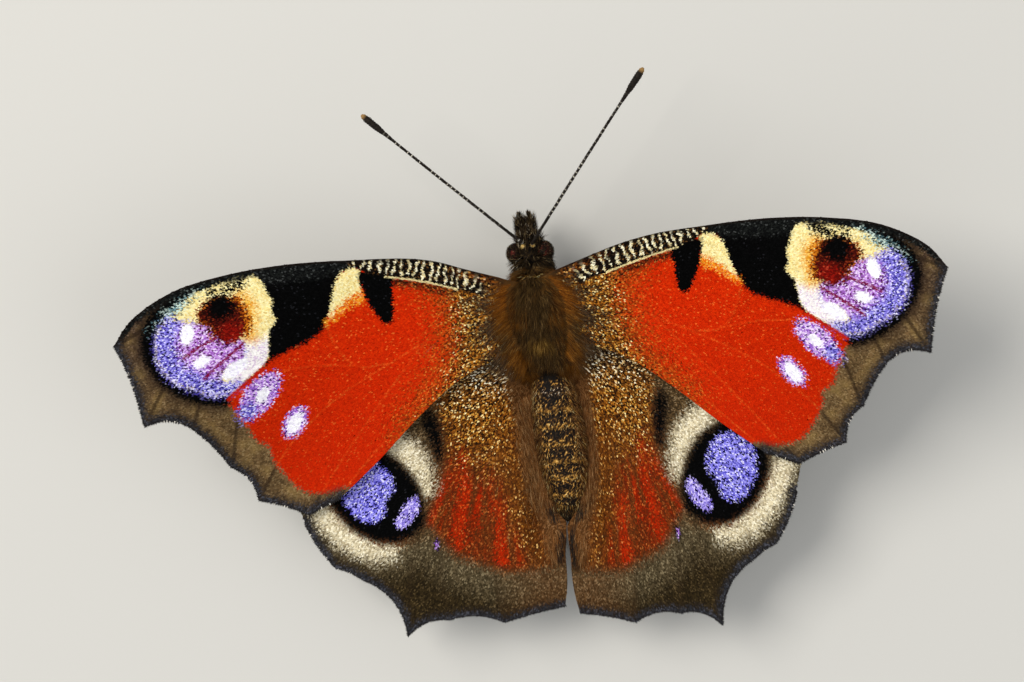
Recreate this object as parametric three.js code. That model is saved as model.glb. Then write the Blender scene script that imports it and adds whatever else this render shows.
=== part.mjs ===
// Peacock butterfly, life size, resting with its wings spread, standing on its legs.
// Millimetres. The head points to +Y, the butterfly's right is +X, up is +Z, the floor is z = 0.
import * as THREE from 'three'

// Sizes of the body
const GAP = 0.3
const THORAX_FRONT = 3.75
const THORAX_REAR = -3.95
const THORAX_Z = 5.8
const THORAX_HALF_HEIGHT = 2.6
const THORAX_HALF_WIDTH = 2.35
const ABDOMEN_FRONT = -4.25
const ABDOMEN_TIP = -15.1
const ABDOMEN_FRONT_Z = 5.2
const ABDOMEN_TIP_Z = 4.1
const ABDOMEN_HALF_WIDTH = 1.85
const HEAD_Z = 5.0
const EYE_RADIUS = [0.85, 0.72, 0.85]

// Sizes of the wings
const MEMBRANE = 0.5
const ROOT_EXTRA = 0.4
const RIDGE_TOP = 0.2
const RIDGE_BELOW = 0.08
const RIDGE_HALF_WIDTH = 0.3
const FOREWING_HINGE_Z = 7.2
const HINDWING_HINGE_Z = 5.8
const HINGE_X = 2.6
const OVERLAP_LIFT = 1.15
const ROOT_LIFT = 0.25
const HINDWING_DROOP = 0.0015
const TAIL_DROOP = 0.0035
const TAIL_DROOP_FROM = 8
const GUTTER_DEPTH = 1.1
const GUTTER_X = 1.9
const GUTTER_HALF_WIDTH = 0.9

// Rise of each wing in degrees, and how each spread wing lies across and along the body
const POSE = {
  forewing_right: { side: 1, rise: 16.5, across: [0.954, -0.011, 0.108], along: [0.0105, 1.005, 0.012] },
  forewing_left: { side: -1, rise: 14.0, across: [0.966, -0.034, 0.311], along: [0.003, 1.053, -0.403] },
  hindwing_right: { side: 1, rise: 7.0, across: [0.9605, 0.003, -0.067], along: [-0.003, 1.0435, 0.28] },
  hindwing_left: { side: -1, rise: 3.5, across: [1.048, -0.005, 0.023], along: [0.0015, 0.991, -0.229] },
}

// The middle line of the body seen from above: x against y
const SPINE = [
  [-15.1, 0.2], [-12.0, 0.36], [-9.5, 0.34], [-3.9, 0.04], [0.0, -0.2], [3.6, -0.54], [5.75, -0.7], [8.0, -0.9]]

const clamp01 = (t) => Math.min(1, Math.max(0, t))
const smooth = (t) => { const c = clamp01(t); return c * c * (3 - 2 * c) }
const mix = (a, b, t) => a + (b - a) * t
const rad = (d) => d * Math.PI / 180

function along(table, y) {
  if (y <= table[0][0]) return table[0][1]
  for (let i = 1; i < table.length; i++) {
    const [y0, a0] = table[i - 1]
    const [y1, a1] = table[i]
    if (y <= y1) return mix(a0, a1, (y - y0) / (y1 - y0))
  }
  return table[table.length - 1][1]
}
const spineX = (y) => along(SPINE, y)

// Body outlines: half width and half height of the thorax and abdomen against y
const THORAX_SHAPE = [
  [-3.95, 0.6], [-3.4, 0.74], [-2.6, 0.86], [-1.4, 0.95], [0.0, 1.0], [1.2, 0.99], [2.2, 0.9], [3.0, 0.72], [3.75, 0.48]]
const thoraxHalf = (y) => THORAX_HALF_WIDTH * along(THORAX_SHAPE, y)
const thoraxRoundness = 2.5
function thoraxHalfAt(y, z) {
  const h = THORAX_HALF_HEIGHT * along(THORAX_SHAPE, y)
  const t = Math.min(0.98, Math.abs(z - THORAX_Z) / h)
  return thoraxHalf(y) * Math.pow(1 - Math.pow(t, thoraxRoundness), 1 / thoraxRoundness)
}
const ABDOMEN_SHAPE = [
  [-15.1, 0.2], [-14.5, 0.44], [-13.6, 0.66], [-12.2, 0.86], [-10.6, 0.98], [-8.8, 1.0], [-6.8, 0.94], [-5.2, 0.84],
  [-4.25, 0.72]]
const abdomenHalf = (y) => ABDOMEN_HALF_WIDTH * along(ABDOMEN_SHAPE, y)

// Forewing, seen flat: named ends of the veins on the outer margin, from the hooked apex to the rear corner
const FOREWING = {
  root: [[2.5, -1.5], [2.5, 3.1]],
  costa: [[5.2, 4.45], [8.5, 5.3], [13.0, 5.66], [18.0, 5.8], [22.5, 5.45], [26.2, 4.65], [29.2, 3.0]],
  ends: {
    R5: [30.43, 1.48], M1: [28.7, -4.2], M2: [25.45, -4.8], M3: [23.4, -7.8], CuA1: [21.85, -10.4],
    CuA2: [18.2, -11.75], A2: [15.7, -10.75] },
  bays: [0.22, 0.5, 0.12, 0.42, 0.08, 0.06],
  rear: [[12.6, -8.35], [9.5, -5.7], [6.6, -3.55]],
}
// Hindwing, seen flat: the tail is the end of M3
const HINDWING = {
  root: [[2.65, -3.1], [2.65, -0.6]],
  costa: [[6.0, 0.25], [10.0, -0.7], [14.0, -3.4], [17.3, -7.2], [18.6, -10.4]],
  ends: {
    Rs: [18.0, -13.3], M1: [16.1, -16.9], M2: [14.2, -18.0], M3: [11.55, -22.45], CuA1: [8.5, -21.45],
    CuA2: [4.8, -21.95], A2: [0.5, -21.05] },
  bays: [-0.2, 0.1, 0.75, 0.45, 0.4, 0.06],
  rear: [[0.22, -19.4], [0.22, -17.4], [0.55, -15.6], [1.45, -13.9], [2.15, -11.6], [2.35, -9.0], [2.3, -6.4]],
}

// Main veins, each a line from the root or the cell to the margin, as ridges raised in the wing's own surface
const FOREWING_VEINS = [
  [[2.8, 2.6], [7.0, 4.55], [11.0, 5.25], [14.0, 5.6]],
  [[2.8, 2.0], [6.0, 3.5], [10.5, 4.45], [14.0, 4.45], [20.0, 4.75], [25.0, 4.3], [27.6, 3.7]],
  [[14.0, 4.45], [17.0, 5.2], [19.8, 5.65]],
  [[18.0, 4.7], [21.0, 5.1], [23.4, 5.25]],
  [[20.0, 4.75], [24.0, 3.6], [28.0, 2.4], [30.1, 1.5]],
  [[14.0, 4.45], [15.3, 2.7], [15.0, 0.2], [13.6, -1.6], [11.2, -1.7]],
  [[15.3, 2.7], [19.0, 2.2], [23.1, 1.1], [26.5, -1.0], [28.45, -3.9]],
  [[15.3, 1.3], [18.5, 1.2], [21.9, 0.34], [24.2, -2.0], [25.3, -4.5]],
  [[13.6, -1.6], [17.2, -1.3], [20.4, -1.9], [22.2, -4.3], [23.2, -7.5]],
  [[2.8, 1.0], [6.0, 0.5], [11.2, -1.7], [15.5, -3.9], [19.2, -6.9], [21.6, -10.0]],
  [[8.6, -0.6], [12.0, -4.2], [15.2, -7.9], [18.0, -11.4]],
  [[2.8, -0.9], [6.2, -2.2], [10.0, -5.2], [13.2, -8.1], [15.6, -10.4]],
]
const HINDWING_VEINS = [
  [[2.95, -1.0], [6.5, -1.2], [11.0, -3.2], [15.0, -7.2], [17.6, -11.6]],
  [[4.4, -1.2], [8.8, -4.8], [13.4, -9.4], [16.2, -13.2], [17.6, -13.2]],
  [[8.8, -4.8], [12.2, -9.8], [14.8, -14.6], [15.95, -16.6]],
  [[8.4, -6.2], [11.4, -11.4], [13.2, -15.4], [14.1, -17.7]],
  [[7.4, -9.0], [9.6, -13.6], [11.0, -18.6], [11.45, -22.1]],
  [[3.0, -2.0], [5.8, -6.2], [7.4, -9.0], [8.3, -13.4], [8.7, -17.6], [8.5, -21.2]],
  [[4.7, -4.6], [5.6, -9.4], [5.6, -14.6], [5.1, -18.6], [4.8, -21.7]],
  [[3.0, -2.8], [3.5, -7.4], [3.4, -12.2], [2.3, -17.2], [0.75, -20.8]],
]

const BOUNDARY_STEP = 0.75
const VEIN_STEP = 1.05
const FILL_STEP = 1.7

// A smooth line through the given points
function curve(points, step) {
  const c = new THREE.CatmullRomCurve3(points.map(([a, b]) => new THREE.Vector3(a, b, 0)), false, 'centripetal')
  const n = Math.max(2, Math.round(c.getLength() / step))
  return c.getSpacedPoints(n).map((p) => [p.x, p.y])
}

// The closed outline, counter-clockwise seen from above: root, rear, outer margin, costa
function outline(wing) {
  const ends = Object.values(wing.ends)
  const costa = curve([wing.root[1], ...wing.costa, ends[0]], BOUNDARY_STEP)
  const margin = [ends[0]]
  for (let i = 1; i < ends.length; i++) {
    const a = ends[i - 1]
    const b = ends[i]
    const length = Math.hypot(b[0] - a[0], b[1] - a[1])
    const n = Math.max(2, Math.round(length / BOUNDARY_STEP))
    const inward = [(b[1] - a[1]) / length, -(b[0] - a[0]) / length]
    for (let k = 1; k <= n; k++) {
      const t = k / n
      const bay = wing.bays[i - 1] * Math.pow(Math.sin(Math.PI * t), 0.8)
      margin.push([mix(a[0], b[0], t) + inward[0] * bay, mix(a[1], b[1], t) + inward[1] * bay])
    }
  }
  const rear = curve([ends[ends.length - 1], ...wing.rear, wing.root[0]], BOUNDARY_STEP)
  const n = Math.max(2, Math.round((wing.root[1][1] - wing.root[0][1]) / BOUNDARY_STEP))
  const root = []
  for (let k = 1; k < n; k++) root.push([mix(wing.root[0][0], wing.root[1][0], k / n),
    mix(wing.root[0][1], wing.root[1][1], k / n)])
  const ring = [...costa.slice(0, -1), ...margin, ...rear.slice(1), ...root]
  return ring.reverse()
}

const inside = (ring, x, y) => {
  let hit = false
  for (let i = 0, j = ring.length - 1; i < ring.length; j = i++) {
    const [xi, yi] = ring[i]
    const [xj, yj] = ring[j]
    if ((yi > y) !== (yj > y) && x < (xj - xi) * (y - yi) / (yj - yi) + xi) hit = !hit
  }
  return hit
}
const toSegment = (x, y, a, b) => {
  const dx = b[0] - a[0]
  const dy = b[1] - a[1]
  const t = clamp01(((x - a[0]) * dx + (y - a[1]) * dy) / (dx * dx + dy * dy))
  return Math.hypot(x - a[0] - t * dx, y - a[1] - t * dy)
}
function toLines(lines, x, y) {
  let best = 1e9
  for (const line of lines) {
    for (let i = 1; i < line.length; i++) best = Math.min(best, toSegment(x, y, line[i - 1], line[i]))
  }
  return best
}

// Delaunay triangles over points in the plane
function delaunay(points) {
  const big = 1e3
  const all = [...points, [-big, -big], [big, -big], [0, big]]
  const n = points.length
  const circle = (a, b, c) => {
    const [ax, ay] = all[a]
    const [bx, by] = all[b]
    const [cx, cy] = all[c]
    const d = 2 * (ax * (by - cy) + bx * (cy - ay) + cx * (ay - by))
    const a2 = ax * ax + ay * ay
    const b2 = bx * bx + by * by
    const c2 = cx * cx + cy * cy
    const x = (a2 * (by - cy) + b2 * (cy - ay) + c2 * (ay - by)) / d
    const y = (a2 * (cx - bx) + b2 * (ax - cx) + c2 * (bx - ax)) / d
    return { a, b, c, x, y, r: (ax - x) ** 2 + (ay - y) ** 2 }
  }
  let triangles = [circle(n, n + 1, n + 2)]
  for (let p = 0; p < n; p++) {
    const [px, py] = all[p]
    const edges = new Map()
    const kept = []
    for (const t of triangles) {
      if ((px - t.x) ** 2 + (py - t.y) ** 2 < t.r) {
        for (const [u, v] of [[t.a, t.b], [t.b, t.c], [t.c, t.a]]) {
          const back = v + '_' + u
          if (edges.has(back)) edges.delete(back)
          else edges.set(u + '_' + v, [u, v])
        }
      } else kept.push(t)
    }
    for (const [u, v] of edges.values()) kept.push(circle(u, v, p))
    triangles = kept
  }
  return triangles.filter((t) => t.a < n && t.b < n && t.c < n).map((t) => [t.a, t.b, t.c])
}

// The flat net of one wing: points, triangles and the length of its boundary ring
function net(wing, veins, seed) {
  const ring = outline(wing)
  let state = seed
  const random = () => {
    state = (state * 16807) % 2147483647
    return state / 2147483647
  }
  const points = [...ring]
  const clear = (x, y, room, from) => {
    for (let i = from; i < points.length; i++) {
      if (Math.hypot(points[i][0] - x, points[i][1] - y) < room) return false
    }
    return true
  }
  const closed = [...ring, ring[0]]
  const add = (x, y, room) => {
    if (!inside(ring, x, y)) return
    if (toLines([closed], x, y) < 0.34) return
    if (clear(x, y, room, 0)) points.push([x, y])
  }
  const lines = veins.map((v) => curve(v, VEIN_STEP))
  for (const line of lines) for (const [x, y] of line) add(x, y, 0.45)
  for (const line of lines) {
    for (let i = 0; i < line.length; i++) {
      const a = line[Math.max(0, i - 1)]
      const b = line[Math.min(line.length - 1, i + 1)]
      const l = Math.hypot(b[0] - a[0], b[1] - a[1])
      const side = [-(b[1] - a[1]) / l * 0.36, (b[0] - a[0]) / l * 0.36]
      add(line[i][0] + side[0], line[i][1] + side[1], 0.3)
      add(line[i][0] - side[0], line[i][1] - side[1], 0.3)
    }
  }
  for (let x = 0; x < 31; x += FILL_STEP) {
    for (let y = -23; y < 7; y += FILL_STEP) {
      add(x + (random() - 0.5) * 0.4, y + (random() - 0.5) * 0.4, FILL_STEP * 0.52)
    }
  }
  const triangles = []
  for (const [a, b, c] of delaunay(points)) {
    const x = (points[a][0] + points[b][0] + points[c][0]) / 3
    const y = (points[a][1] + points[b][1] + points[c][1]) / 3
    if (!inside(ring, x, y)) continue
    const area = (points[b][0] - points[a][0]) * (points[c][1] - points[a][1])
      - (points[c][0] - points[a][0]) * (points[b][1] - points[a][1])
    triangles.push(area > 0 ? [a, b, c] : [a, c, b])
  }
  return { points, triangles, ring: ring.length, lines }
}

// Height of the middle of a hindwing and of a forewing over the floor. The forewing lies on the hindwing
// along its own rear edge, which slants back at this angle, and rises to its own plane over this run.
const REAR_EDGE_ANGLE = Math.atan2(10.5, 15)
const LIFT_RUN = 13
function hindwingZ(x, y, rise) {
  const r = Math.max(0, Math.abs(x) - HINGE_X)
  const behind = Math.max(0, -y - TAIL_DROOP_FROM)
  return HINDWING_HINGE_Z + Math.tan(rad(rise)) * r - HINDWING_DROOP * r * r - TAIL_DROOP * behind * behind
}
function forewingZ(x, y, side, rise) {
  const r = Math.max(0, Math.abs(x) - HINGE_X)
  const under = side > 0 ? POSE.hindwing_right.rise : POSE.hindwing_left.rise
  const top = FOREWING_HINGE_Z + Math.tan(rad(rise)) * r
  const low = hindwingZ(x, y, under) + OVERLAP_LIFT + ROOT_LIFT * Math.exp(-r / 2)
  const ahead = (y + 1.2) * Math.cos(REAR_EDGE_ANGLE) + (Math.abs(x) - 3) * Math.sin(REAR_EDGE_ANGLE)
  return mix(low, top, smooth(ahead / LIFT_RUN + 0.02))
}
// The hindwing dips beside the abdomen
function gutter(lateral, y) {
  const across = Math.exp(-(((lateral - GUTTER_X) / GUTTER_HALF_WIDTH) ** 2))
  return GUTTER_DEPTH * across * smooth((-y - 3.4) / 2) * (1 - smooth((-y - 13) / 3))
}

// One wing: the same net on both faces, a wall round its edge
function wing(name, shape, flat, isFore) {
  const pose = POSE[name]
  const rootX = shape.root[0][0]
  const seatZ = isFore ? FOREWING_HINGE_Z - (MEMBRANE + ROOT_EXTRA) / 2 : HINDWING_HINGE_Z
  const place = (u, v) => {
    const spread = (a, b) => [
      pose.across[0] * a + pose.across[1] * b + pose.across[2],
      pose.along[0] * a + pose.along[1] * b + pose.along[2]]
    const [lat, y] = spread(u, v)
    const seat = thoraxHalfAt(Math.max(-3.6, Math.min(3.4, y)), seatZ) + GAP
    const near = 1 - smooth((u - rootX) / 3)
    const onThorax = smooth((v + 4.4) / 1.2)
    const lateral = lat + (seat - spread(rootX, v)[0]) * near * onThorax
    const x = pose.side * lateral + spineX(y) * (1 - smooth((u - 2.7) / 6))
    return [x, y, lateral]
  }
  const top = []
  const bottom = []
  for (const [u, v] of flat.points) {
    const [x, y, lateral] = place(u, v)
    let z = isFore ? forewingZ(x, y, pose.side, pose.rise) : hindwingZ(x, y, pose.rise)
    if (!isFore) z -= gutter(lateral, y)
    const ridge = clamp01(1 - toLines(flat.lines, u, v) / RIDGE_HALF_WIDTH) * mix(1, 0.5, clamp01(u / 24))
    const rootward = Math.exp(-Math.max(0, u - rootX) / 1.1) * (isFore ? 1 : smooth((v + 4.6) / 1.2))
    const half = (MEMBRANE + ROOT_EXTRA * rootward) / 2
    top.push([x, y, z + half + RIDGE_TOP * ridge])
    bottom.push([x, y, z - half - RIDGE_BELOW * ridge])
  }
  const n = flat.points.length
  const faces = []
  for (const [a, b, c] of flat.triangles) {
    faces.push([a, b, c])
    faces.push([a + n, c + n, b + n])
  }
  for (let i = 0; i < flat.ring; i++) {
    const j = (i + 1) % flat.ring
    faces.push([i, i + n, j + n])
    faces.push([i, j + n, j])
  }
  return solid([...top, ...bottom], faces, pose.side < 0)
}

// A geometry from points and faces
function solid(points, faces, flip = false) {
  const geometry = new THREE.BufferGeometry()
  geometry.setAttribute('position', new THREE.BufferAttribute(new Float32Array(points.flat()), 3))
  geometry.setIndex(faces.flatMap(([a, b, c]) => (flip ? [a, c, b] : [a, b, c])))
  geometry.computeVertexNormals()
  return geometry
}

// A closed skin over rings of equal count, with a point in the middle of each end
function skinRings(rings) {
  const count = rings[0].length
  const points = rings.flat()
  const faces = []
  for (let r = 1; r < rings.length; r++) {
    for (let k = 0; k < count; k++) {
      const a = (r - 1) * count + k
      const b = (r - 1) * count + (k + 1) % count
      faces.push([a, b, b + count])
      faces.push([a, b + count, a + count])
    }
  }
  const centre = (ring) => ring.reduce((s, p) => [s[0] + p[0] / count, s[1] + p[1] / count, s[2] + p[2] / count],
    [0, 0, 0])
  const first = points.length
  points.push(centre(rings[0]), centre(rings[rings.length - 1]))
  const last = (rings.length - 1) * count
  for (let k = 0; k < count; k++) {
    const next = (k + 1) % count
    faces.push([first, next, k])
    faces.push([first + 1, last + k, last + next])
  }
  return solid(points, faces)
}

// A body part lofted along Y, front to rear, from half widths, half heights and heights
function loft(stations, sides, roundness) {
  const rings = stations.map(({ y, w, h, z, x = spineX(y) }) => {
    const ring = []
    for (let k = 0; k < sides; k++) {
      const a = k / sides * Math.PI * 2
      const c = Math.cos(a)
      const s = Math.sin(a)
      const px = Math.sign(c) * Math.pow(Math.abs(c), 2 / roundness) * w
      const pz = Math.sign(s) * Math.pow(Math.abs(s), 2 / roundness) * h
      ring.push([x + px, y, z + pz])
    }
    return ring
  })
  return skinRings(rings)
}

// A round limb swept along a smooth line; it stays on or over the floor
function limb(points, radii, sides, steps, across = null) {
  const path = new THREE.CatmullRomCurve3(points.map((p) => new THREE.Vector3(...p)), false, 'centripetal')
  const count = points.length - 1
  const rings = []
  for (let i = 0; i <= steps; i++) {
    const t = i / steps
    const at = path.getPoint(t)
    const ahead = path.getTangent(t)
    const binormal = across ? new THREE.Vector3(...across).normalize()
      : new THREE.Vector3().crossVectors(ahead, new THREE.Vector3(0, 0, 1)).normalize()
    const normal = new THREE.Vector3().crossVectors(binormal, ahead).normalize()
    const k = Math.min(count - 1, Math.floor(t * count))
    const radius = mix(radii[k], radii[k + 1], t * count - k)
    const ring = []
    for (let s = 0; s < sides; s++) {
      const a = (s + 0.5) / sides * Math.PI * 2
      const p = at.clone().addScaledVector(binormal, Math.cos(a) * radius)
        .addScaledVector(normal, Math.sin(a) * radius)
      ring.push([p.x, p.y, Math.max(0, p.z)])
    }
    rings.push(ring.reverse())
  }
  return skinRings(rings)
}

const facing = (geometry) => {
  const p = geometry.attributes.position
  const index = geometry.index.array
  let volume = 0
  const a = new THREE.Vector3()
  const b = new THREE.Vector3()
  const c = new THREE.Vector3()
  for (let i = 0; i < index.length; i += 3) {
    a.fromBufferAttribute(p, index[i])
    b.fromBufferAttribute(p, index[i + 1])
    c.fromBufferAttribute(p, index[i + 2])
    volume += a.dot(b.cross(c)) / 6
  }
  if (volume < 0) {
    const turned = []
    for (let i = 0; i < index.length; i += 3) turned.push(index[i], index[i + 2], index[i + 1])
    geometry.setIndex(turned)
    geometry.computeVertexNormals()
  }
  return geometry
}

const butterfly = new THREE.Group()
butterfly.name = 'peacock_butterfly'
function part(name, geometry, colour) {
  const material = new THREE.MeshStandardMaterial({ color: colour, roughness: 0.85 })
  const mesh = new THREE.Mesh(facing(geometry), material)
  mesh.name = name
  butterfly.add(mesh)
}

const RUST = '#c23312'
const HIND_BROWN = '#7a3a1c'
const BODY_BROWN = '#4a3220'
const LEG_BROWN = '#6b5a48'
const EYE_BROWN = '#2a120c'
const DARK = '#231a16'

// Wings
const foreNet = net(FOREWING, FOREWING_VEINS, 7)
const hindNet = net(HINDWING, HINDWING_VEINS, 11)
for (const side of ['right', 'left']) {
  part(`forewing_${side}`, wing(`forewing_${side}`, FOREWING, foreNet, true), RUST)
  part(`hindwing_${side}`, wing(`hindwing_${side}`, HINDWING, hindNet, false), HIND_BROWN)
}

// Thorax, with the collar in front and the scutellum behind
const thoraxStations = []
for (let i = 0; i <= 14; i++) {
  const y = mix(THORAX_FRONT, THORAX_REAR, i / 14)
  const k = along(THORAX_SHAPE, y)
  thoraxStations.push({ y, w: THORAX_HALF_WIDTH * k, h: THORAX_HALF_HEIGHT * k, z: mix(5.5, THORAX_Z, smooth(k)) })
}
part('thorax', loft(thoraxStations, 20, thoraxRoundness), BODY_BROWN)

// Abdomen of nine rings
const abdomenStations = []
const ABDOMEN_STEPS = 20
for (let i = 0; i <= ABDOMEN_STEPS; i++) {
  const t = i / ABDOMEN_STEPS
  const y = mix(ABDOMEN_FRONT, ABDOMEN_TIP, t)
  const bulge = i % 2 === 0 ? 0.975 : 1.02
  const w = abdomenHalf(y) * bulge
  abdomenStations.push({ y, w, h: w * 0.95, z: mix(ABDOMEN_FRONT_Z, ABDOMEN_TIP_Z, t) })
}
part('abdomen', loft(abdomenStations, 18, 2), BODY_BROWN)

// Head with flat seats for the two eyes
const headX = spineX(4.85)
const headStations = [
  { x: headX, y: 4.05, w: 0.56, h: 0.78, z: 5.2 },
  { x: headX, y: 4.35, w: 0.6, h: 1.02, z: 5.1 },
  { x: headX, y: 4.85, w: 0.6, h: 1.15, z: HEAD_Z },
  { x: headX, y: 5.4, w: 0.58, h: 1.02, z: 4.95 },
  { x: headX, y: 5.75, w: 0.5, h: 0.78, z: 4.9 },
  { x: headX, y: 5.95, w: 0.34, h: 0.5, z: 4.85 }]
part('head', loft(headStations, 16, 2.6), DARK)
const EYE_STEPS = 5
for (const [name, s] of [['eye_right', 1], ['eye_left', -1]]) {
  const rings = []
  for (let i = 0; i <= EYE_STEPS; i++) {
    const a = i / EYE_STEPS * Math.PI / 2 * 0.93
    const ring = []
    for (let k = 0; k < 16; k++) {
      const b = k / 16 * Math.PI * 2
      ring.push([
        headX + s * (0.6 + GAP + EYE_RADIUS[0] * Math.sin(a)),
        4.85 + EYE_RADIUS[1] * Math.cos(a) * Math.cos(b),
        HEAD_Z + EYE_RADIUS[2] * Math.cos(a) * Math.sin(b)])
    }
    rings.push(ring)
  }
  part(name, skinRings(rings), EYE_BROWN)
}

// Antennae: a thin shaft and a club at the tip
const ANTENNA = {
  right: { from: [0.42, 5.5, 6.38], to: [9.8, 17.26, 8.6] },
  left: { from: [-0.42, 5.7, 6.36], to: [-10.7, 15.86, 8.6] },
}
for (const [side, { from, to }] of Object.entries(ANTENNA)) {
  const points = []
  for (const t of [0, 0.3, 0.6, 0.84, 0.9, 0.96, 1]) {
    const arch = Math.sin(Math.PI * t) * 0.35
    points.push([headX + mix(from[0], to[0], t), mix(from[1], to[1], t), mix(from[2], to[2], t) + arch])
  }
  part(`antenna_${side}`, limb(points, [0.26, 0.25, 0.25, 0.25, 0.31, 0.33, 0.2], 8, 24), DARK)
}

// Palps and the coiled tongue
const palpX = spineX(6.9)
for (const [side, s] of [['right', 1], ['left', -1]]) {
  const points = [[palpX + s * 0.44, 6.28, 4.75], [palpX + s * 0.46, 6.9, 4.85], [palpX + s * 0.45, 7.5, 5.1],
    [palpX + s * 0.42, 8.05, 5.45]]
  part(`palp_${side}`, limb(points, [0.28, 0.31, 0.28, 0.12], 8, 8), DARK)
}
const coil = []
const COIL_TURNS = 1.08
for (let i = 0; i <= 12; i++) {
  const t = i / 12
  const a = rad(100) - t * COIL_TURNS * Math.PI * 2
  const r = mix(1.05, 0.32, t)
  coil.push([palpX, 6.25 + r * Math.cos(a), 2.62 + r * Math.sin(a)])
}
part('proboscis', limb(coil, coil.map((p, i) => mix(0.25, 0.2, i / 12)), 8, 30, [1, 0, 0]), DARK)

// Legs: hip, knee, end of the shin, then the foot lying flat on the floor
const LEGS = {
  midleg: { hip: [0.95, 0.5, 2.52], knee: [4.2, 0.9, 3.6], shin: [6.9, 1.4, 0.75], toe: [8.9, 1.9, 0.2] },
  hindleg: { hip: [0.95, -2.3, 2.84], knee: [3.3, -5.0, 3.3], shin: [4.9, -8.2, 0.75], toe: [5.9, -10.3, 0.2] },
}
for (const [kind, leg] of Object.entries(LEGS)) {
  for (const [side, s] of [['right', 1], ['left', -1]]) {
    const o = spineX(leg.hip[1])
    const at = ([x, y, z]) => [o + s * x, y, z]
    const between = (a, b, t) => [mix(a[0], b[0], t), mix(a[1], b[1], t), mix(a[2], b[2], t)]
    const heel = between(leg.shin, leg.toe, 0.3)
    heel[2] = 0.2
    const points = [leg.hip, between(leg.hip, leg.knee, 0.5), leg.knee, between(leg.knee, leg.shin, 0.5),
      leg.shin, heel, between(heel, leg.toe, 0.5), leg.toe].map(at)
    for (const k of [5, 6, 7]) points[k][2] = 0.2
    const run = [s * (leg.toe[0] - leg.hip[0]), leg.toe[1] - leg.hip[1]]
    const across = [run[1], -run[0], 0]
    part(`${kind}_${side}`, limb(points, [0.42, 0.4, 0.3, 0.28, 0.25, 0.26, 0.26, 0.2], 8, 26, across), LEG_BROWN)
  }
}
// The short front legs are held up under the head
for (const [side, s] of [['right', 1], ['left', -1]]) {
  const o = spineX(3)
  const points = [[o + s * 0.75, 2.5, 3.25], [o + s * 0.95, 3.2, 2.5], [o + s * 0.85, 4.1, 2.35],
    [o + s * 0.7, 4.7, 2.9]]
  part(`foreleg_${side}`, limb(points, [0.32, 0.34, 0.3, 0.22], 8, 10), LEG_BROWN)
}

// Centre the model on its own box, feet on the floor
const box = new THREE.Box3().setFromObject(butterfly)
const middle = box.getCenter(new THREE.Vector3())
for (const mesh of butterfly.children) mesh.geometry.translate(-middle.x, -middle.y, -box.min.z)

export default butterfly
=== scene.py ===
# %% [markdown]
# # A peacock butterfly, life size
# The frame holds the butterfly's solids at their real size: four wings, thorax, abdomen, head, eyes, legs,
# feelers, palps and tongue. This lesson dresses them: thin scaled wings with their markings, one body skin
# with a coat of fine hairs, dark bristly eyes and jointed legs. All pieces are shaped in millimetres in the
# frame's own layout and shrunk to metres as their last step.

# %% Load the frame
import math

import bpy
import numpy as np
from mathutils import Matrix, Vector


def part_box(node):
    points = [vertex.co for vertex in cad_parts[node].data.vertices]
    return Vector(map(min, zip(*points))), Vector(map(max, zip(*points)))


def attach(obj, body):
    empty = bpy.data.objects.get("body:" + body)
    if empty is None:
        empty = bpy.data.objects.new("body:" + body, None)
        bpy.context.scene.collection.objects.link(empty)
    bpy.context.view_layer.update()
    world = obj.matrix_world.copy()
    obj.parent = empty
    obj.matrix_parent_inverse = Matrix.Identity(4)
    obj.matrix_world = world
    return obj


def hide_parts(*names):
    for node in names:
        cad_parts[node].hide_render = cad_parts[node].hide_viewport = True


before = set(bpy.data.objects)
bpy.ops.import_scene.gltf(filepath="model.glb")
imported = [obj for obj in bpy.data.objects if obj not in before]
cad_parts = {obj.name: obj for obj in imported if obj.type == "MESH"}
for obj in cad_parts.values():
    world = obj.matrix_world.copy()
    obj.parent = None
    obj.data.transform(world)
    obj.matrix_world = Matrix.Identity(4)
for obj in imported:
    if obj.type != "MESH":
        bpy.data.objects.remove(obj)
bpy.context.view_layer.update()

MM = 0.001
SIDES = {"right": 1, "left": -1}

# %% [markdown]
# ## The sizes that the pieces share
# The solids were laid out from a bent middle line and a few outlines. The same sizes are repeated here, so
# that the skin, the wings and the coat sit where the solids sit. The head's box tells how far that layout was
# moved when the model was centred.

# %% Body sizes in millimetres
SPINE = np.array([
    (-15.1, 0.2), (-12.0, 0.36), (-9.5, 0.34), (-3.9, 0.04), (0.0, -0.2), (3.6, -0.54), (5.75, -0.7),
    (8.0, -0.9)])
THORAX_FRONT, THORAX_REAR = 3.75, -3.95
THORAX_Z, THORAX_HALF_HEIGHT, THORAX_HALF_WIDTH = 5.8, 2.6, 2.35
THORAX_ROUNDNESS = 2.5
THORAX_SHAPE = np.array([
    (-3.95, 0.6), (-3.4, 0.74), (-2.6, 0.86), (-1.4, 0.95), (0.0, 1.0), (1.2, 0.99), (2.2, 0.9), (3.0, 0.72),
    (3.75, 0.48)])
ABDOMEN_FRONT, ABDOMEN_TIP = -4.25, -15.1
ABDOMEN_FRONT_Z, ABDOMEN_TIP_Z, ABDOMEN_HALF_WIDTH = 5.2, 4.1, 1.85
ABDOMEN_SHAPE = np.array([
    (-15.1, 0.2), (-14.5, 0.44), (-13.6, 0.66), (-12.2, 0.86), (-10.6, 0.98), (-8.8, 1.0), (-6.8, 0.94),
    (-5.2, 0.84), (-4.25, 0.72)])
HEAD_Y, HEAD_Z = 4.95, 5.0
HEAD_REAR = 4.05


def along(rows, y):
    return np.interp(y, rows[:, 0], rows[:, 1])


def spine_x(y):
    return along(SPINE, y)


def smooth(t):
    c = np.clip(t, 0, 1)
    return c * c * (3 - 2 * c)


def mix(a, b, t):
    return a + (b - a) * t


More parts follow.
